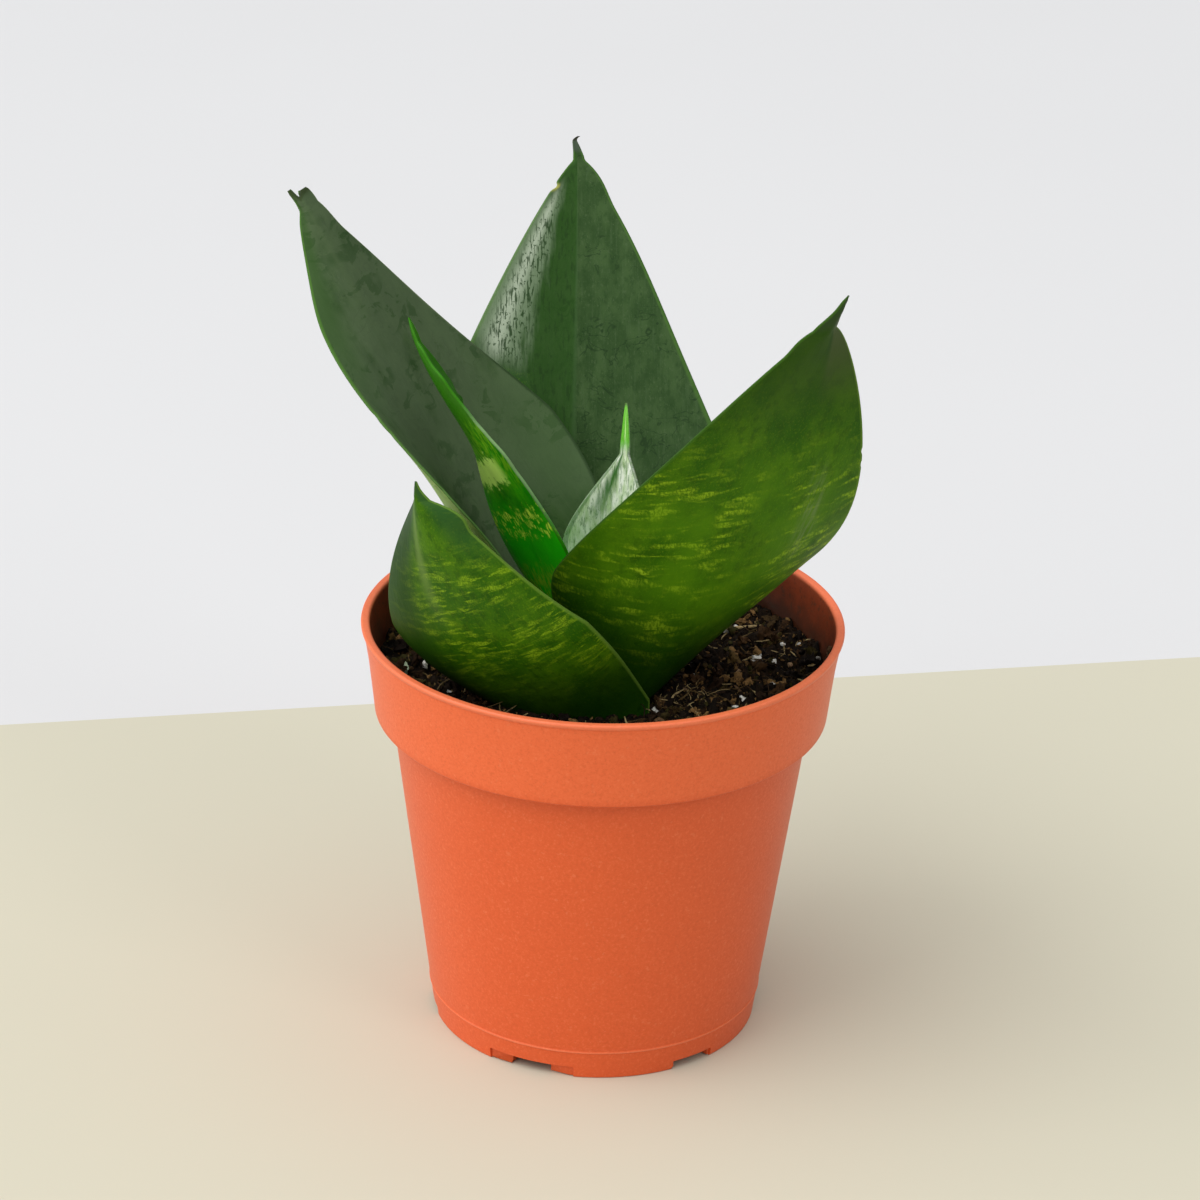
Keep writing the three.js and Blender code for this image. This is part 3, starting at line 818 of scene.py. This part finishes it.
def left_upper(skin):
    """The left leaf: dark zigzag blotches, a painted highlight along its crease, a bright green
    margin and painted shade on its right margin low down.
    """
    share, across, pattern, paint = skin.share, skin.across, skin.pattern, skin.paint
    paint(pattern(12, 20, 0.20, 0.50), (0.105, 0.150, 0.078), 0.60)
    blotch = pattern(5.5, 4.0, 0.53, 0.57, 3.0, 0.6, 0.8) * pattern(14, 16, 0.45, 0.55)
    paint(blotch, (0.012, 0.050, 0.006), 0.45)
    # painted highlight: a pale line along the crease
    crease = across.bell(-0.08, 0.12) * share.step(0.62, 0.85)
    paint(crease, (0.075, 0.120, 0.050), 0.5)
    paint(across.step(-0.35, -0.8) * share.step(0.55, 0.8), (0.022, 0.078, 0.006), 0.6)
    paint(across.step(0.2, 0.8) * share.step(0.62, 0.40), (0.034, 0.090, 0.014), 0.4)
    paint(skin.margin(0.965, -1), (0.080, 0.220, 0.018), 0.5)
    paint(skin.margin(0.98, 1) * share.step(0.50, 0.75), (0.20, 0.26, 0.14), 0.6)
    # painted shade: the right margin is painted dark on its lower part
    paint(skin.margin(0.98, 1) * share.step(0.64, 0.52), (0.010, 0.034, 0.005), 0.7)
    paint(share.step(0.975, 0.995), (0.030, 0.045, 0.012), 0.8)
    return 0.44


def banded_leaf_material(name, seed, flecked, own, **flecks):
    """A leaf that shows its lower face. Flecked says where its flecks are, flecks what they are
    like, and own adds the rest."""
    skin = LeafSkin(name, seed)
    upper_skin(skin)
    zone = flecked(skin) * skin.pattern(13, 11, 0.36, 0.54)
    skin.paint(skin.under, lower_colour(skin, zone, **flecks))
    own(skin)
    # darker towards the foot: partly the leaf's own colour, partly painted shade among the crowded
    # leaf bases
    skin.paint(skin.share.step(0.34, 0.08), (0.003, 0.032, 0.0008), 0.82)
    skin.paint(skin.margin(0.975, -1), (0.14, 0.26, 0.03), 0.6)
    skin.paint(skin.margin(0.98, 1), (0.05, 0.14, 0.01), 0.5)
    grain = skin.pattern(0.5, 4)
    relief = grain + skin.pattern(0.35, 0.7) * 0.8
    return skin.finish(0.46 + grain * 0.2, 0.14, relief, *LEAF_RELIEF, (0.75, 0.95, 0.45))


def right_flecks(skin):
    """The right leaf's flecks lie in two columns, and fade out towards its ends."""
    lengthwise = skin.share.step(0.09, 0.22) * skin.share.step(0.72, 0.50)
    return lengthwise * (1.0 - skin.across.bell(-0.12, 0.30) * 0.9)


def right_own(skin):
    """The right leaf: a bright middle, a dark green tip, a painted reflection in a pale streak and
    a dull facet beside its keel.
    """
    share, across, pattern, paint = skin.share, skin.across, skin.pattern, skin.paint
    glow = share.bell(0.42, 0.34) * pattern(14, 22, 0.30, 0.62) * skin.under
    paint(glow, (0.095, 0.250, 0.003), 0.6)
    paint(share.step(0.62, 0.88) * skin.under, (0.018, 0.060, 0.003), 0.8)
    # painted reflection: a soft pale streak on the left half of the lower face
    painted_reflection = across.bell(-0.56, 0.14) * share.bell(0.50, 0.16) * pattern(1.0, 9, 0.35, 0.65)
    paint(painted_reflection, (0.20, 0.27, 0.12), 0.55)
    facet = across.step(-0.22, -0.45) * share.step(0.72, 0.90)
    paint(facet, (0.060, 0.085, 0.028), 0.7)
    keel = across.bell(-0.30, 0.14) * share.step(0.80, 0.90)
    paint(keel, (0.010, 0.050, 0.004), 0.8)
    paint(share.step(0.915, 0.945), (0.030, 0.062, 0.022), 0.85)


def front_flecks(skin):
    """The front leaf's flecks fade out towards its ends."""
    return skin.share.step(0.16, 0.42) * skin.share.step(0.92, 0.66)


def front_own(skin):
    """The front leaf: a painted highlight along the keel below its tip, and brown specks near the
    soil.
    """
    share, across, paint = skin.share, skin.across, skin.paint
    # painted highlight: a pale streak along the keel
    keel = across.bell(0.22, 0.14) * share.step(0.50, 0.78)
    paint(keel, (0.17, 0.25, 0.07), 0.5)
    paint(across.step(0.15, 0.65) * skin.under, (0.009, 0.040, 0.001), 0.85)
    paint(across.step(-0.25, -0.75) * share.step(0.72, 0.9), (0.020, 0.070, 0.020), 0.7)
    speck = skin.pattern(0.5, 0.5, 0.66, 0.72) * share.step(0.30, 0.12)
    paint(speck, (0.22, 0.15, 0.04), 0.8)
    paint(share.step(0.955, 0.985), (0.030, 0.075, 0.020), 0.8)


def young_leaf_material():
    """The young leaf: bright green with cream patches in bands across it."""
    skin = LeafSkin("leaf_young", 3.0)
    share, across, pattern, paint = skin.share, skin.across, skin.pattern, skin.paint
    skin.colour = skin.mix(pattern(4, 9, 0.38, 0.62), (0.010, 0.240, 0.002), (0.038, 0.370, 0.003))
    paint(pattern(1.0, 3.0, 0.50, 0.64, 4.0, 0.65), (0.006, 0.160, 0.002), 0.5)
    paint(share.step(0.62, 0.76), (0.021, 0.100, 0.002), 0.85)
    paint(share.step(0.56, 0.42), (0.020, 0.70, 0.004), 0.75)
    streak = pattern(0.5, 3.0, 0.42, 0.58)
    patchy = pattern(3.2, 2.4, 0.44, 0.54)
    ragged = (pattern(1.6, 2.2, None, None, 4.0, 0.7) - 0.5) * 0.13 + (share + across * 0.035)
    paint(ragged.bell(0.640, 0.12) * streak, (0.20, 0.45, 0.012), 0.7)
    cream = ragged.bell(0.615, 0.055).step(0.15, 0.65) * across.step(-0.75, -0.45)
    paint(cream, (0.62, 0.95, 0.17), 0.95)
    low_row = ragged.bell(0.475, 0.055).step(0.1, 0.6) * streak * patchy
    paint(low_row, (0.70, 1.0, 0.08), 0.95)
    paint(ragged.bell(0.31, 0.07) * streak, (0.45, 0.70, 0.03), 0.7)
    left = skin.margin(0.972, -1)
    paint(left, (0.030, 0.18, 0.004), 0.8)
    paint(left * share.step(0.80, 0.72) * share.step(0.45, 0.60), (0.40, 0.52, 0.32), 0.4)
    paint(share.step(0.18, 0.04), (0.004, 0.060, 0.001), 0.7)
    grain = pattern(0.4, 3)
    return skin.finish(0.32 + grain * 0.16, 0.2, grain, *LEAF_RELIEF, (0.8, 1.0, 0.5))


def spear_material():
    """The spear: silver with dark streaks, a dark middle stripe and a bright green spike. Its
    silver is partly its own colour and partly painted highlight.
    """
    skin = LeafSkin("leaf_spear", 2.0)
    share, across, pattern, paint = skin.share, skin.across, skin.pattern, skin.paint
    streak = pattern(0.55, 3.5, 0.52, 0.62, 4.0, 0.7, 0.4)
    # silver partly the spear's own colour and partly painted highlight: the blade is painted near
    # white
    skin.colour = skin.mix(pattern(1.5, 6, 0.36, 0.60), (0.58, 0.72, 0.42), (0.95, 0.98, 0.86))
    paint(streak, (0.10, 0.24, 0.05), 0.70)
    paint(pattern(0.4, 1.2, 0.56, 0.64, 4.0, 0.7), (0.16, 0.30, 0.09), 0.5)
    ragged = across + (pattern(1.0, 6) - 0.5) * 0.5
    paint(ragged.bell(-0.52, 0.36) * share.step(0.52, 0.74), (0.020, 0.130, 0.006), 0.95)
    paint(skin.margin(0.92, -1), (0.05, 0.20, 0.03), 0.5)
    paint(skin.margin(0.95, 1), (0.03, 0.11, 0.02), 0.6)
    paint(share.step(0.835, 0.885), (0.16, 0.58, 0.03), 0.95)
    paint(share.step(0.87, 0.90) * across.bell(0.15, 0.5), (0.78, 1.0, 0.42), 0.85)
    paint(share.step(0.985, 0.998), (0.10, 0.16, 0.05), 0.8)
    return skin.finish(0.26 + streak * 0.25, 0.45, streak, *LEAF_RELIEF)


def make_leaves():
    right = dict(lean=-22, row=(9, 2.3), stroke=(0.50, 1.4), strength=0.88)
    front = dict(lean=-14, row=(6, 1.3), stroke=(0.34, 0.50), strength=0.58)
    looks = {
        "leaf_back": ("leaf_dark", dark_leaf_material(
            "leaf_dark_back", 3.0, back_upper, 0.22, pale=(0.30, 0.05))),
        "leaf_left": ("leaf_dark", dark_leaf_material(
            "leaf_dark_left", 41.0, left_upper, 0.22, pale=(0.62, 0.45))),
        "leaf_right": ("leaf_banded", banded_leaf_material(
            "leaf_banded_right", 23.0, right_flecks, right_own, **right)),
        "leaf_front": ("leaf_banded", banded_leaf_material(
            "leaf_banded_front", 31.0, front_flecks, front_own, **front)),
        "leaf_young": ("leaf_young", young_leaf_material()),
        "leaf_spear": ("leaf_spear", spear_material()),
    }
    blades = []
    for name, leaf in LEAVES.items():
        slot, material = looks[name]
        blade = leaf_mesh(name, leaf, material)
        blades.append(blade)
    return blades


# ---- Soil ----
CROWN_PLACE = (0.0, -12.0)
CROWN_SPREAD = 22.0
CROWN_RISE = 1.2
SOIL_RADIUS = 50.3
SOIL_RINGS = 130
SOIL_STEPS = 380
SEED = 11
LEAF_CLEARANCE = 0.45

# How many small pieces there are, and between which sizes in millimetres.
CRUMB_COUNT = 2100
CRUMB_SIZES = (0.8, 3.0)
GRIT_COUNT = 3200
GRIT_SIZES = (0.35, 0.9)
FIBRE_COUNT = 560
FIBRE_LENGTHS = (1.6, 6.5)
FIBRE_RADII = (0.09, 0.24)
CHIP_COUNT = 50
CHIP_SIZES = (1.6, 4.2)
PERLITE_COUNT = 52
PERLITE_SIZES = (0.6, 2.1)

# A tangle of pale roots by the right leaf, and the middle of it in the photo.
PALE_ROOTS_PIXEL = (680, 701)
PALE_ROOTS_COUNT = 46
PALE_ROOTS_SPREAD = (3.5, 2.6)
PALE_ROOTS_LENGTHS = (1.0, 2.8)
PALE_ROOTS_RADII = (0.05, 0.11)

# Grains that stand out in the photo: the pixel, and the width in millimetres.
PERLITE_PIXELS = [
    (757, 660, 2.6), (770, 668, 2.2), (655, 713, 3.0), (742, 699, 1.6), (693, 664, 1.9),
    (637, 716, 1.5), (402, 645, 1.6), (425, 665, 1.5),
]
GREENISH_PIXELS = [(405, 669, 2.4), (734, 699, 1.2)]
TAN_PIXELS = [(737, 675, 2.6), (790, 665, 1.6), (684, 690, 1.2)]
STICK_PIXELS = ((718, 629), (762, 626))
STICK_RADIUS = 0.42

# A patch of crumbs that sticks to the pot's inner wall at the right.
WALL_CRUMB_COUNT = 26
WALL_CRUMB_ANGLE = -4.0
WALL_CRUMB_HEIGHT = 90.5
WALL_CRUMB_SIZES = (0.5, 1.5)


def soil_height(x, y):
    """The soil's surface: the low lumps of the part's source, and finer crumbling."""
    from_crown = math.hypot(x - CROWN_PLACE[0], y - CROWN_PLACE[1]) / CROWN_SPREAD
    lumps = (0.45 * math.sin(x / 3.1 + 0.6) * math.sin(y / 3.7)
             + 0.35 * math.sin(x / 5.3 + y / 4.1 + 1.9) + 0.3 * math.sin(y / 2.3 - x / 2.9))
    coarse = noise.fractal((x / 4.2, y / 4.2, 3.0), 0.9, 2.1, 4)
    cracks = abs(noise.noise((x / 2.6, y / 2.6, 9.0)))
    return (SOIL_LEVEL + CROWN_RISE * math.exp(-(from_crown ** 2)) + lumps
            + 1.8 * coarse - 1.8 * max(0.0, 0.22 - cracks) / 0.22)


def make_soil_bed(material):
    angles = np.arange(SOIL_STEPS) * 2 * math.pi / SOIL_STEPS
    low = FLOOR_TOP + GAP
    profile = [(body_radius(low) - WALL - GAP, low),
               (body_radius(COLLAR_FOOT) - WALL - GAP, COLLAR_FOOT + 0.4),
               (COLLAR_EDGE_RADIUS - WALL - 1.2, COLLAR_FOOT + 3.6)]
    points = [(r * math.cos(a), r * math.sin(a), z) for r, z in profile for a in angles]
    for k in range(SOIL_RINGS, 0, -1):
        radius = SOIL_RADIUS * k / SOIL_RINGS
        for a in angles:
            x, y = radius * math.cos(a), radius * math.sin(a)
            points.append((x, y, soil_height(x, y)))
    rows = len(profile) + SOIL_RINGS
    last = (rows - 1) * SOIL_STEPS
    top_centre = len(points)
    points.append((0, 0, soil_height(0, 0)))
    faces = grid_faces(rows, SOIL_STEPS)
    faces += [(top_centre, last + j, last + (j + 1) % SOIL_STEPS) for j in range(SOIL_STEPS)]
    faces.append(tuple(range(SOIL_STEPS - 1, -1, -1)))
    bed = make_object("soil_bed", points, faces, material)
    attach(bed, "root")
    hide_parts("soil")


class Bits:
    """Many small pieces that end up in one mesh, with a tone of its own for each."""

    def __init__(self, name, draws):
        self.name = name
        self.draws = draws
        self.points, self.faces, self.tones = [], [], []

    def add(self, points, faces, tone):
        first = len(self.points)
        self.points += [tuple(point) for point in points]
        self.faces += [[first + i for i in face] for face in faces]
        self.tones += [self.draws.random() ** 1.5 if tone is None else tone] * len(points)

    def three(self, low, high):
        return Vector([self.draws.uniform(low, high) for _ in range(3)])

    def lump(self, centre, size, shape, rough=0.45, tone=None):
        """A crumb: a turned ball, size across, with its own proportions and dents."""
        offset = self.three(0, 90)
        turn = Matrix.Rotation(self.draws.uniform(0, 6.28), 3, self.three(-1, 1).normalized())
        stretch = self.three(0.5, 1.4)
        points = []
        for point in shape[0]:
            dents = 2 * noise.noise(point * 1.3 + offset) + noise.noise(point * 3.7 + offset)
            local = Vector(a * b for a, b in zip(point, stretch)) * (1 + rough * dents)
            points.append(Vector(centre) + turn @ local * (size / 2))
        self.add(points, shape[1], tone)

    def heading(self, low, high):
        """A random direction that climbs between low and high for each step outward."""
        angle = self.draws.uniform(0, 6.28)
        return Vector((math.cos(angle), math.sin(angle), self.draws.uniform(low, high)))

    def thread(self, start, heading, length, radius, tone=None, wander=0.5, sides=5, steps=7):
        """A bent fibre with thin ends."""
        point, direction = Vector(start), Vector(heading).normalized()
        rings = []
        for i in range(steps):
            thick = radius * (0.35 + 0.65 * math.sin(math.pi * (i + 0.5) / steps))
            side = direction.cross((0.3, 0.2, 1)).normalized()
            up = side.cross(direction)
            rings += [point + thick * (math.cos(a) * side + math.sin(a) * up)
                      for a in np.arange(sides) * 2 * math.pi / sides]
            point = point + direction * (length / (steps - 1))
            bend = Vector([self.draws.gauss(0, spread) for spread in (0.5, 0.5, 0.22)])
            direction = (direction + wander * bend).normalized()
        faces = [face[::-1] for face in grid_faces(steps, sides)]
        faces += [tuple(range(sides)), tuple(range((steps - 1) * sides, steps * sides))[::-1]]
        self.add(rings, faces, tone)

    def finish(self, material):
        piece = make_object(self.name, self.points, self.faces, material, 60)
        add_attribute(piece, "tone", self.tones)
        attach(piece, "root")


def ball(divisions):
    """The points and faces of a ball of radius 1."""
    shape = bmesh.new()
    bmesh.ops.create_icosphere(shape, subdivisions=divisions, radius=1)
    points = [vertex.co.copy() for vertex in shape.verts]
    faces = [[vertex.index for vertex in face.verts] for face in shape.faces]
    shape.free()
    return points, faces


COARSE_BALL, BALL, FINE_BALL = ball(1), ball(2), ball(3)


class SoilTop:
    """Finds free places on the soil, clear of the leaves and the pot."""

    def __init__(self, draws, blades):
        self.draws = draws
        low = [vertex.co / MM - Vector((POT_X / MM, POT_Y / MM, 0)) for blade in blades
               for vertex in blade.data.vertices if vertex.co.z < (SOIL_LEVEL + 14) * MM]
        self.tree = kdtree.KDTree(len(low))
        for i, point in enumerate(low):
            self.tree.insert(point, i)
        self.tree.balance()

    def clear(self, point, room):
        return self.tree.find(point)[2] > room + LEAF_CLEARANCE

    def spot(self, room, lift, edge=0.0):
        """A random place with room round it, lift above the soil. Edge crowds the places towards
        the pot's wall."""
        while True:
            share = self.draws.random() ** (0.5 - 0.25 * edge)
            angle = self.draws.uniform(0, 2 * math.pi)
            radius = share * (SOIL_RADIUS - 0.3 - room)
            x, y = radius * math.cos(angle), radius * math.sin(angle)
            point = Vector((x, y, soil_height(x, y)))
            if self.clear(point, room):
                return point + Vector((0, 0, lift))

    def under(self, px, py, lift):
        """The place that the camera sees at a pixel, lift above the soil."""
        point = under_pixel(px, py, SOIL_LEVEL)
        for _ in range(4):
            point = under_pixel(px, py, soil_height(point.x, point.y) + lift)
        return point


def mostly_small(draws, sizes, power):
    """A random size. The higher the power, the more of them are small."""
    return sizes[0] + (sizes[1] - sizes[0]) * draws.random() ** power


def make_crumbs(top, draws, material):
    crumbs = Bits("soil_crumbs", draws)
    for _ in range(CRUMB_COUNT):
        size = mostly_small(draws, CRUMB_SIZES, 2.6)
        shape = FINE_BALL if size > 2.1 else BALL if size > 1.0 else COARSE_BALL
        crumbs.lump(top.spot(size / 2, size * 0.05), size, shape, 0.6)
    for _ in range(GRIT_COUNT):
        size = draws.uniform(*GRIT_SIZES)
        crumbs.lump(top.spot(size / 2, size * 0.2, 0.4), size, COARSE_BALL)
    crumbs.finish(material)


def make_fibres(top, draws, material):
    fibres = Bits("soil_fibres", draws)
    for _ in range(FIBRE_COUNT):
        length = draws.uniform(*FIBRE_LENGTHS)
        heading = fibres.heading(-0.1, 0.35)
        spot = top.spot(length * 0.5, 0) + Vector((0, 0, draws.uniform(0.1, 0.9)))
        inward = Vector((-spot.x, -spot.y, 0)).normalized() * 0.4
        fibres.thread(spot, heading + inward, length, draws.uniform(*FIBRE_RADII))
    roots = top.under(*PALE_ROOTS_PIXEL, 0.5)
    for _ in range(PALE_ROOTS_COUNT):
        spot = roots + Vector([draws.gauss(0, spread) for spread in PALE_ROOTS_SPREAD] + [0])
        spot.z = soil_height(spot.x, spot.y) + draws.uniform(0.4, 1.3)
        if top.clear(spot, 1.5) and math.hypot(spot.x, spot.y) < SOIL_RADIUS - 4:
            fibres.thread(spot, fibres.heading(0, 0.3), draws.uniform(*PALE_ROOTS_LENGTHS),
                          draws.uniform(*PALE_ROOTS_RADII), draws.uniform(0.45, 0.90), 0.8)
    start, end = (top.under(*pixel, 1.5) for pixel in STICK_PIXELS)
    fibres.thread(start, end - start, (end - start).length, STICK_RADIUS, 0.98, 0.06, 8, 10)
    fibres.finish(material)


def make_chips(top, draws, material):
    chips = Bits("bark_chips", draws)
    flake = ([Vector((p.x, p.y * 0.45, p.z * 0.22)) for p in BALL[0]], BALL[1])
    for _ in range(CHIP_COUNT):
        long = draws.uniform(*CHIP_SIZES)
        chips.lump(top.spot(long / 2, 0.35), long, flake, 0.16)
    for px, py, size in TAN_PIXELS:
        chips.lump(top.under(px, py, 0.6), size, BALL, 0.25, 1.0)
    for _ in range(WALL_CRUMB_COUNT):
        angle = math.radians(WALL_CRUMB_ANGLE) + draws.gauss(0, 0.022)
        height = WALL_CRUMB_HEIGHT + draws.uniform(-4.5, 2.0)
        inner = RIM_RADIUS - WALL - 1.45 - (POT_HEIGHT - height) * WALL_SLOPE
        chips.lump((inner * math.cos(angle), inner * math.sin(angle), height),
                   draws.uniform(*WALL_CRUMB_SIZES), COARSE_BALL, 0.3, draws.uniform(0, 0.6))
    chips.finish(material)


def make_perlite(top, draws, material):
    grains = Bits("perlite", draws)
    for px, py, size in PERLITE_PIXELS:
        grains.lump(top.under(px, py, size * 0.4), size, BALL, 0.34, draws.uniform(0.5, 1))
    for px, py, size in GREENISH_PIXELS:
        grains.lump(top.under(px, py, size * 0.4), size, BALL, 0.34, 0.0)
    for _ in range(PERLITE_COUNT):
        size = mostly_small(draws, PERLITE_SIZES, 2)
        spot = top.spot(size / 2, size * 0.3, 0.4)
        grains.lump(spot, size, BALL, 0.34, draws.uniform(0.4, 1))
    grains.finish(material)


def soil_material():
    """Dark moist peat."""
    shader = Shader("potting_mix")
    where = shader.position()
    fine = shader.noise(where, 1500, 4, 0.7)
    patch = shader.noise(where, 260, 3, 0.6)
    shader.colour = shader.mix(patch.step(0.35, 0.7), (0.003, 0.002, 0.001), (0.018, 0.010, 0.005))
    shader.paint(fine.step(0.55, 0.75), (0.09, 0.050, 0.022), 0.6)
    return shader.finish(0.85, 0.12, fine + patch, 0.5, 0.9)


def bit_material(name, roughness, height, fine_scale, tones):
    """Small pieces whose colour runs through the tones, from piece to piece."""
    shader = Shader(name)
    tone = shader.attribute("tone")
    fine = shader.noise(shader.position(), fine_scale, 4, 0.7)
    shader.colour = tones[0]
    for i, following in enumerate(tones[1:]):
        start = (i + 0.2) / len(tones)
        shader.paint(tone.step(start, start + 0.8 / len(tones)), following)
    dark = [channel * 0.35 for channel in tones[0]]
    shader.paint(fine.step(0.52, 0.36), dark, 0.65)
    return shader.finish(roughness, 0.12, fine, height, 0.8)


def perlite_material():
    shader = Shader("perlite")
    where = shader.position()
    pits = shader.node("TexVoronoi", {"Vector": where, "Scale": 2600}, "Distance")
    shader.colour = (0.30, 0.36, 0.24)
    shader.paint(shader.attribute("tone").step(0.05, 0.4), (0.66, 0.64, 0.58))
    shader.paint(pits.step(0.25, 0.05), (0.30, 0.26, 0.20), 0.5)
    shader.paint(shader.noise(where, 700, 3, 0.6).step(0.55, 0.68), (0.14, 0.10, 0.06), 0.6)
    return shader.finish(0.8, 0.3, pits, 0.2, 0.8)


def make_soil_details(blades):
    draws = random.Random(SEED)
    top = SoilTop(draws, blades)
    make_crumbs(top, draws, bit_material("soil_crumb", 0.8, 0.3, 1400, [
        (0.006, 0.0028, 0.0012), (0.022, 0.010, 0.0035), (0.055, 0.026, 0.009),
        (0.036, 0.031, 0.006), (0.200, 0.110, 0.038)]))
    make_fibres(top, draws, bit_material("soil_fibre", 0.7, 0.1, 1400, [
        (0.014, 0.007, 0.003), (0.05, 0.026, 0.010), (0.11, 0.070, 0.025), (0.38, 0.28, 0.13)]))
    make_chips(top, draws, bit_material("bark_chip", 0.75, 0.2, 1800, [
        (0.016, 0.008, 0.004), (0.06, 0.028, 0.012), (0.11, 0.060, 0.028), (0.26, 0.16, 0.085)]))
    make_perlite(top, draws, perlite_material())


# ---- Stage and light ----
STAGE_SIZE = 6000.0
FLOOR_LINE_LEFT_PIXEL = (0, 725)
FLOOR_LINE_RIGHT_PIXEL = (1200, 657)


def make_stage():
    """A beige floor that ends behind the pot, and a white one beyond."""
    left = under_pixel(*FLOOR_LINE_LEFT_PIXEL, 0)
    right = under_pixel(*FLOOR_LINE_RIGHT_PIXEL, 0)
    slope = (right.y - left.y) / (right.x - left.x)
    ends = [(x, left.y + slope * (x - left.x), 0) for x in (-STAGE_SIZE, STAGE_SIZE)]
    near = [(-STAGE_SIZE, -STAGE_SIZE, 0), (STAGE_SIZE, -STAGE_SIZE, 0), ends[1], ends[0]]
    far = [ends[0], ends[1], (STAGE_SIZE, STAGE_SIZE, 0), (-STAGE_SIZE, STAGE_SIZE, 0)]
    beige = stage_material("floor", (0.60, 0.575, 0.45), (0.64, 0.61, 0.48))
    white = stage_material("backdrop", (0.68, 0.68, 0.68), (0.71, 0.71, 0.71))
    make_object("floor", near, [(0, 1, 2, 3)], beige)
    make_object("backdrop", far, [(0, 1, 2, 3)], white)


def stage_material(name, dark, light):
    shader = Shader(name)
    shader.colour = shader.mix(shader.noise(shader.position(), 3.0, 3, 0.5), dark, light)
    return shader.finish(0.65, 0.3)


KEY_LIGHT = 0.27
STRIP_LIGHT = 0.11
KEY_PLACE = (-62, 50, 40, 30)  # azimuth and elevation, width and height, in degrees
STRIP_PLACE = (44, 34, 20, 13)
ROOM_DARK = 0.19
ROOM_ABOVE = 0.90  # added overhead
ROOM_LEFT = 1.20  # added in the middle of the bright side
ROOM_LEFT_PLACE = (-68, 30)


def toward(azimuth, elevation):
    """The direction to a light. Azimuth 0 is at the viewer's side, and 90 is to the right."""
    a, e = math.radians(azimuth), math.radians(elevation)
    return Vector((math.sin(a) * math.cos(e), -math.cos(a) * math.cos(e), math.sin(e)))


def softbox(name, azimuth, elevation, wide, high, light, distance=3000.0):
    """A soft light, wide and high in degrees. The light is how bright it makes a white surface
    that faces it."""
    away = toward(azimuth, elevation)
    data = bpy.data.lights.new(name, "AREA")
    data.shape = "RECTANGLE"
    data.size = 2 * math.tan(math.radians(wide / 2)) * distance * MM
    data.size_y = 2 * math.tan(math.radians(high / 2)) * distance * MM
    data.energy = light * math.pi ** 2 * (distance * MM) ** 2
    lamp = bpy.data.objects.new(name, data)
    lamp.location = Vector(place(Vector((0, 0, 100)) + away * distance))
    lamp.rotation_euler = away.to_track_quat("Z", "Y").to_euler()
    bpy.context.scene.collection.objects.link(lamp)


def make_room():
    """A dim white room, brighter overhead and on a broad side at the left."""
    world = bpy.data.worlds.new("room")
    world.use_nodes = True
    room = Nodes(world.node_tree)
    direction = room.node("TexCoord", {}, "Generated")

    def lobe(centre, start, end):
        """1 near the centre, and 0 where the cosine of the angle from it is below start."""
        inputs = {0: direction, 1: centre}
        return room.node("VectorMath", inputs, "Value", operation="DOT_PRODUCT").step(start, end)

    left = lobe(toward(*ROOM_LEFT_PLACE), 0.45, 0.97) * ROOM_LEFT
    above = lobe((0, 0, 1), 0.25, 1.0) * ROOM_ABOVE
    background = room.nodes["Background"]
    room.feed(background.inputs["Strength"], left + above + ROOM_DARK)
    room.feed(background.inputs["Color"], (0.98, 0.985, 1.0))
    bpy.context.scene.world = world


def make_light():
    make_room()
    softbox("key", *KEY_PLACE, KEY_LIGHT)
    softbox("strip", *STRIP_PLACE, STRIP_LIGHT)
    bpy.context.scene.view_settings.view_transform = "Standard"


make_camera()
make_pot(pot_material())
blades = make_leaves()
make_soil_bed(soil_material())
make_soil_details(blades)
make_stage()
make_light()
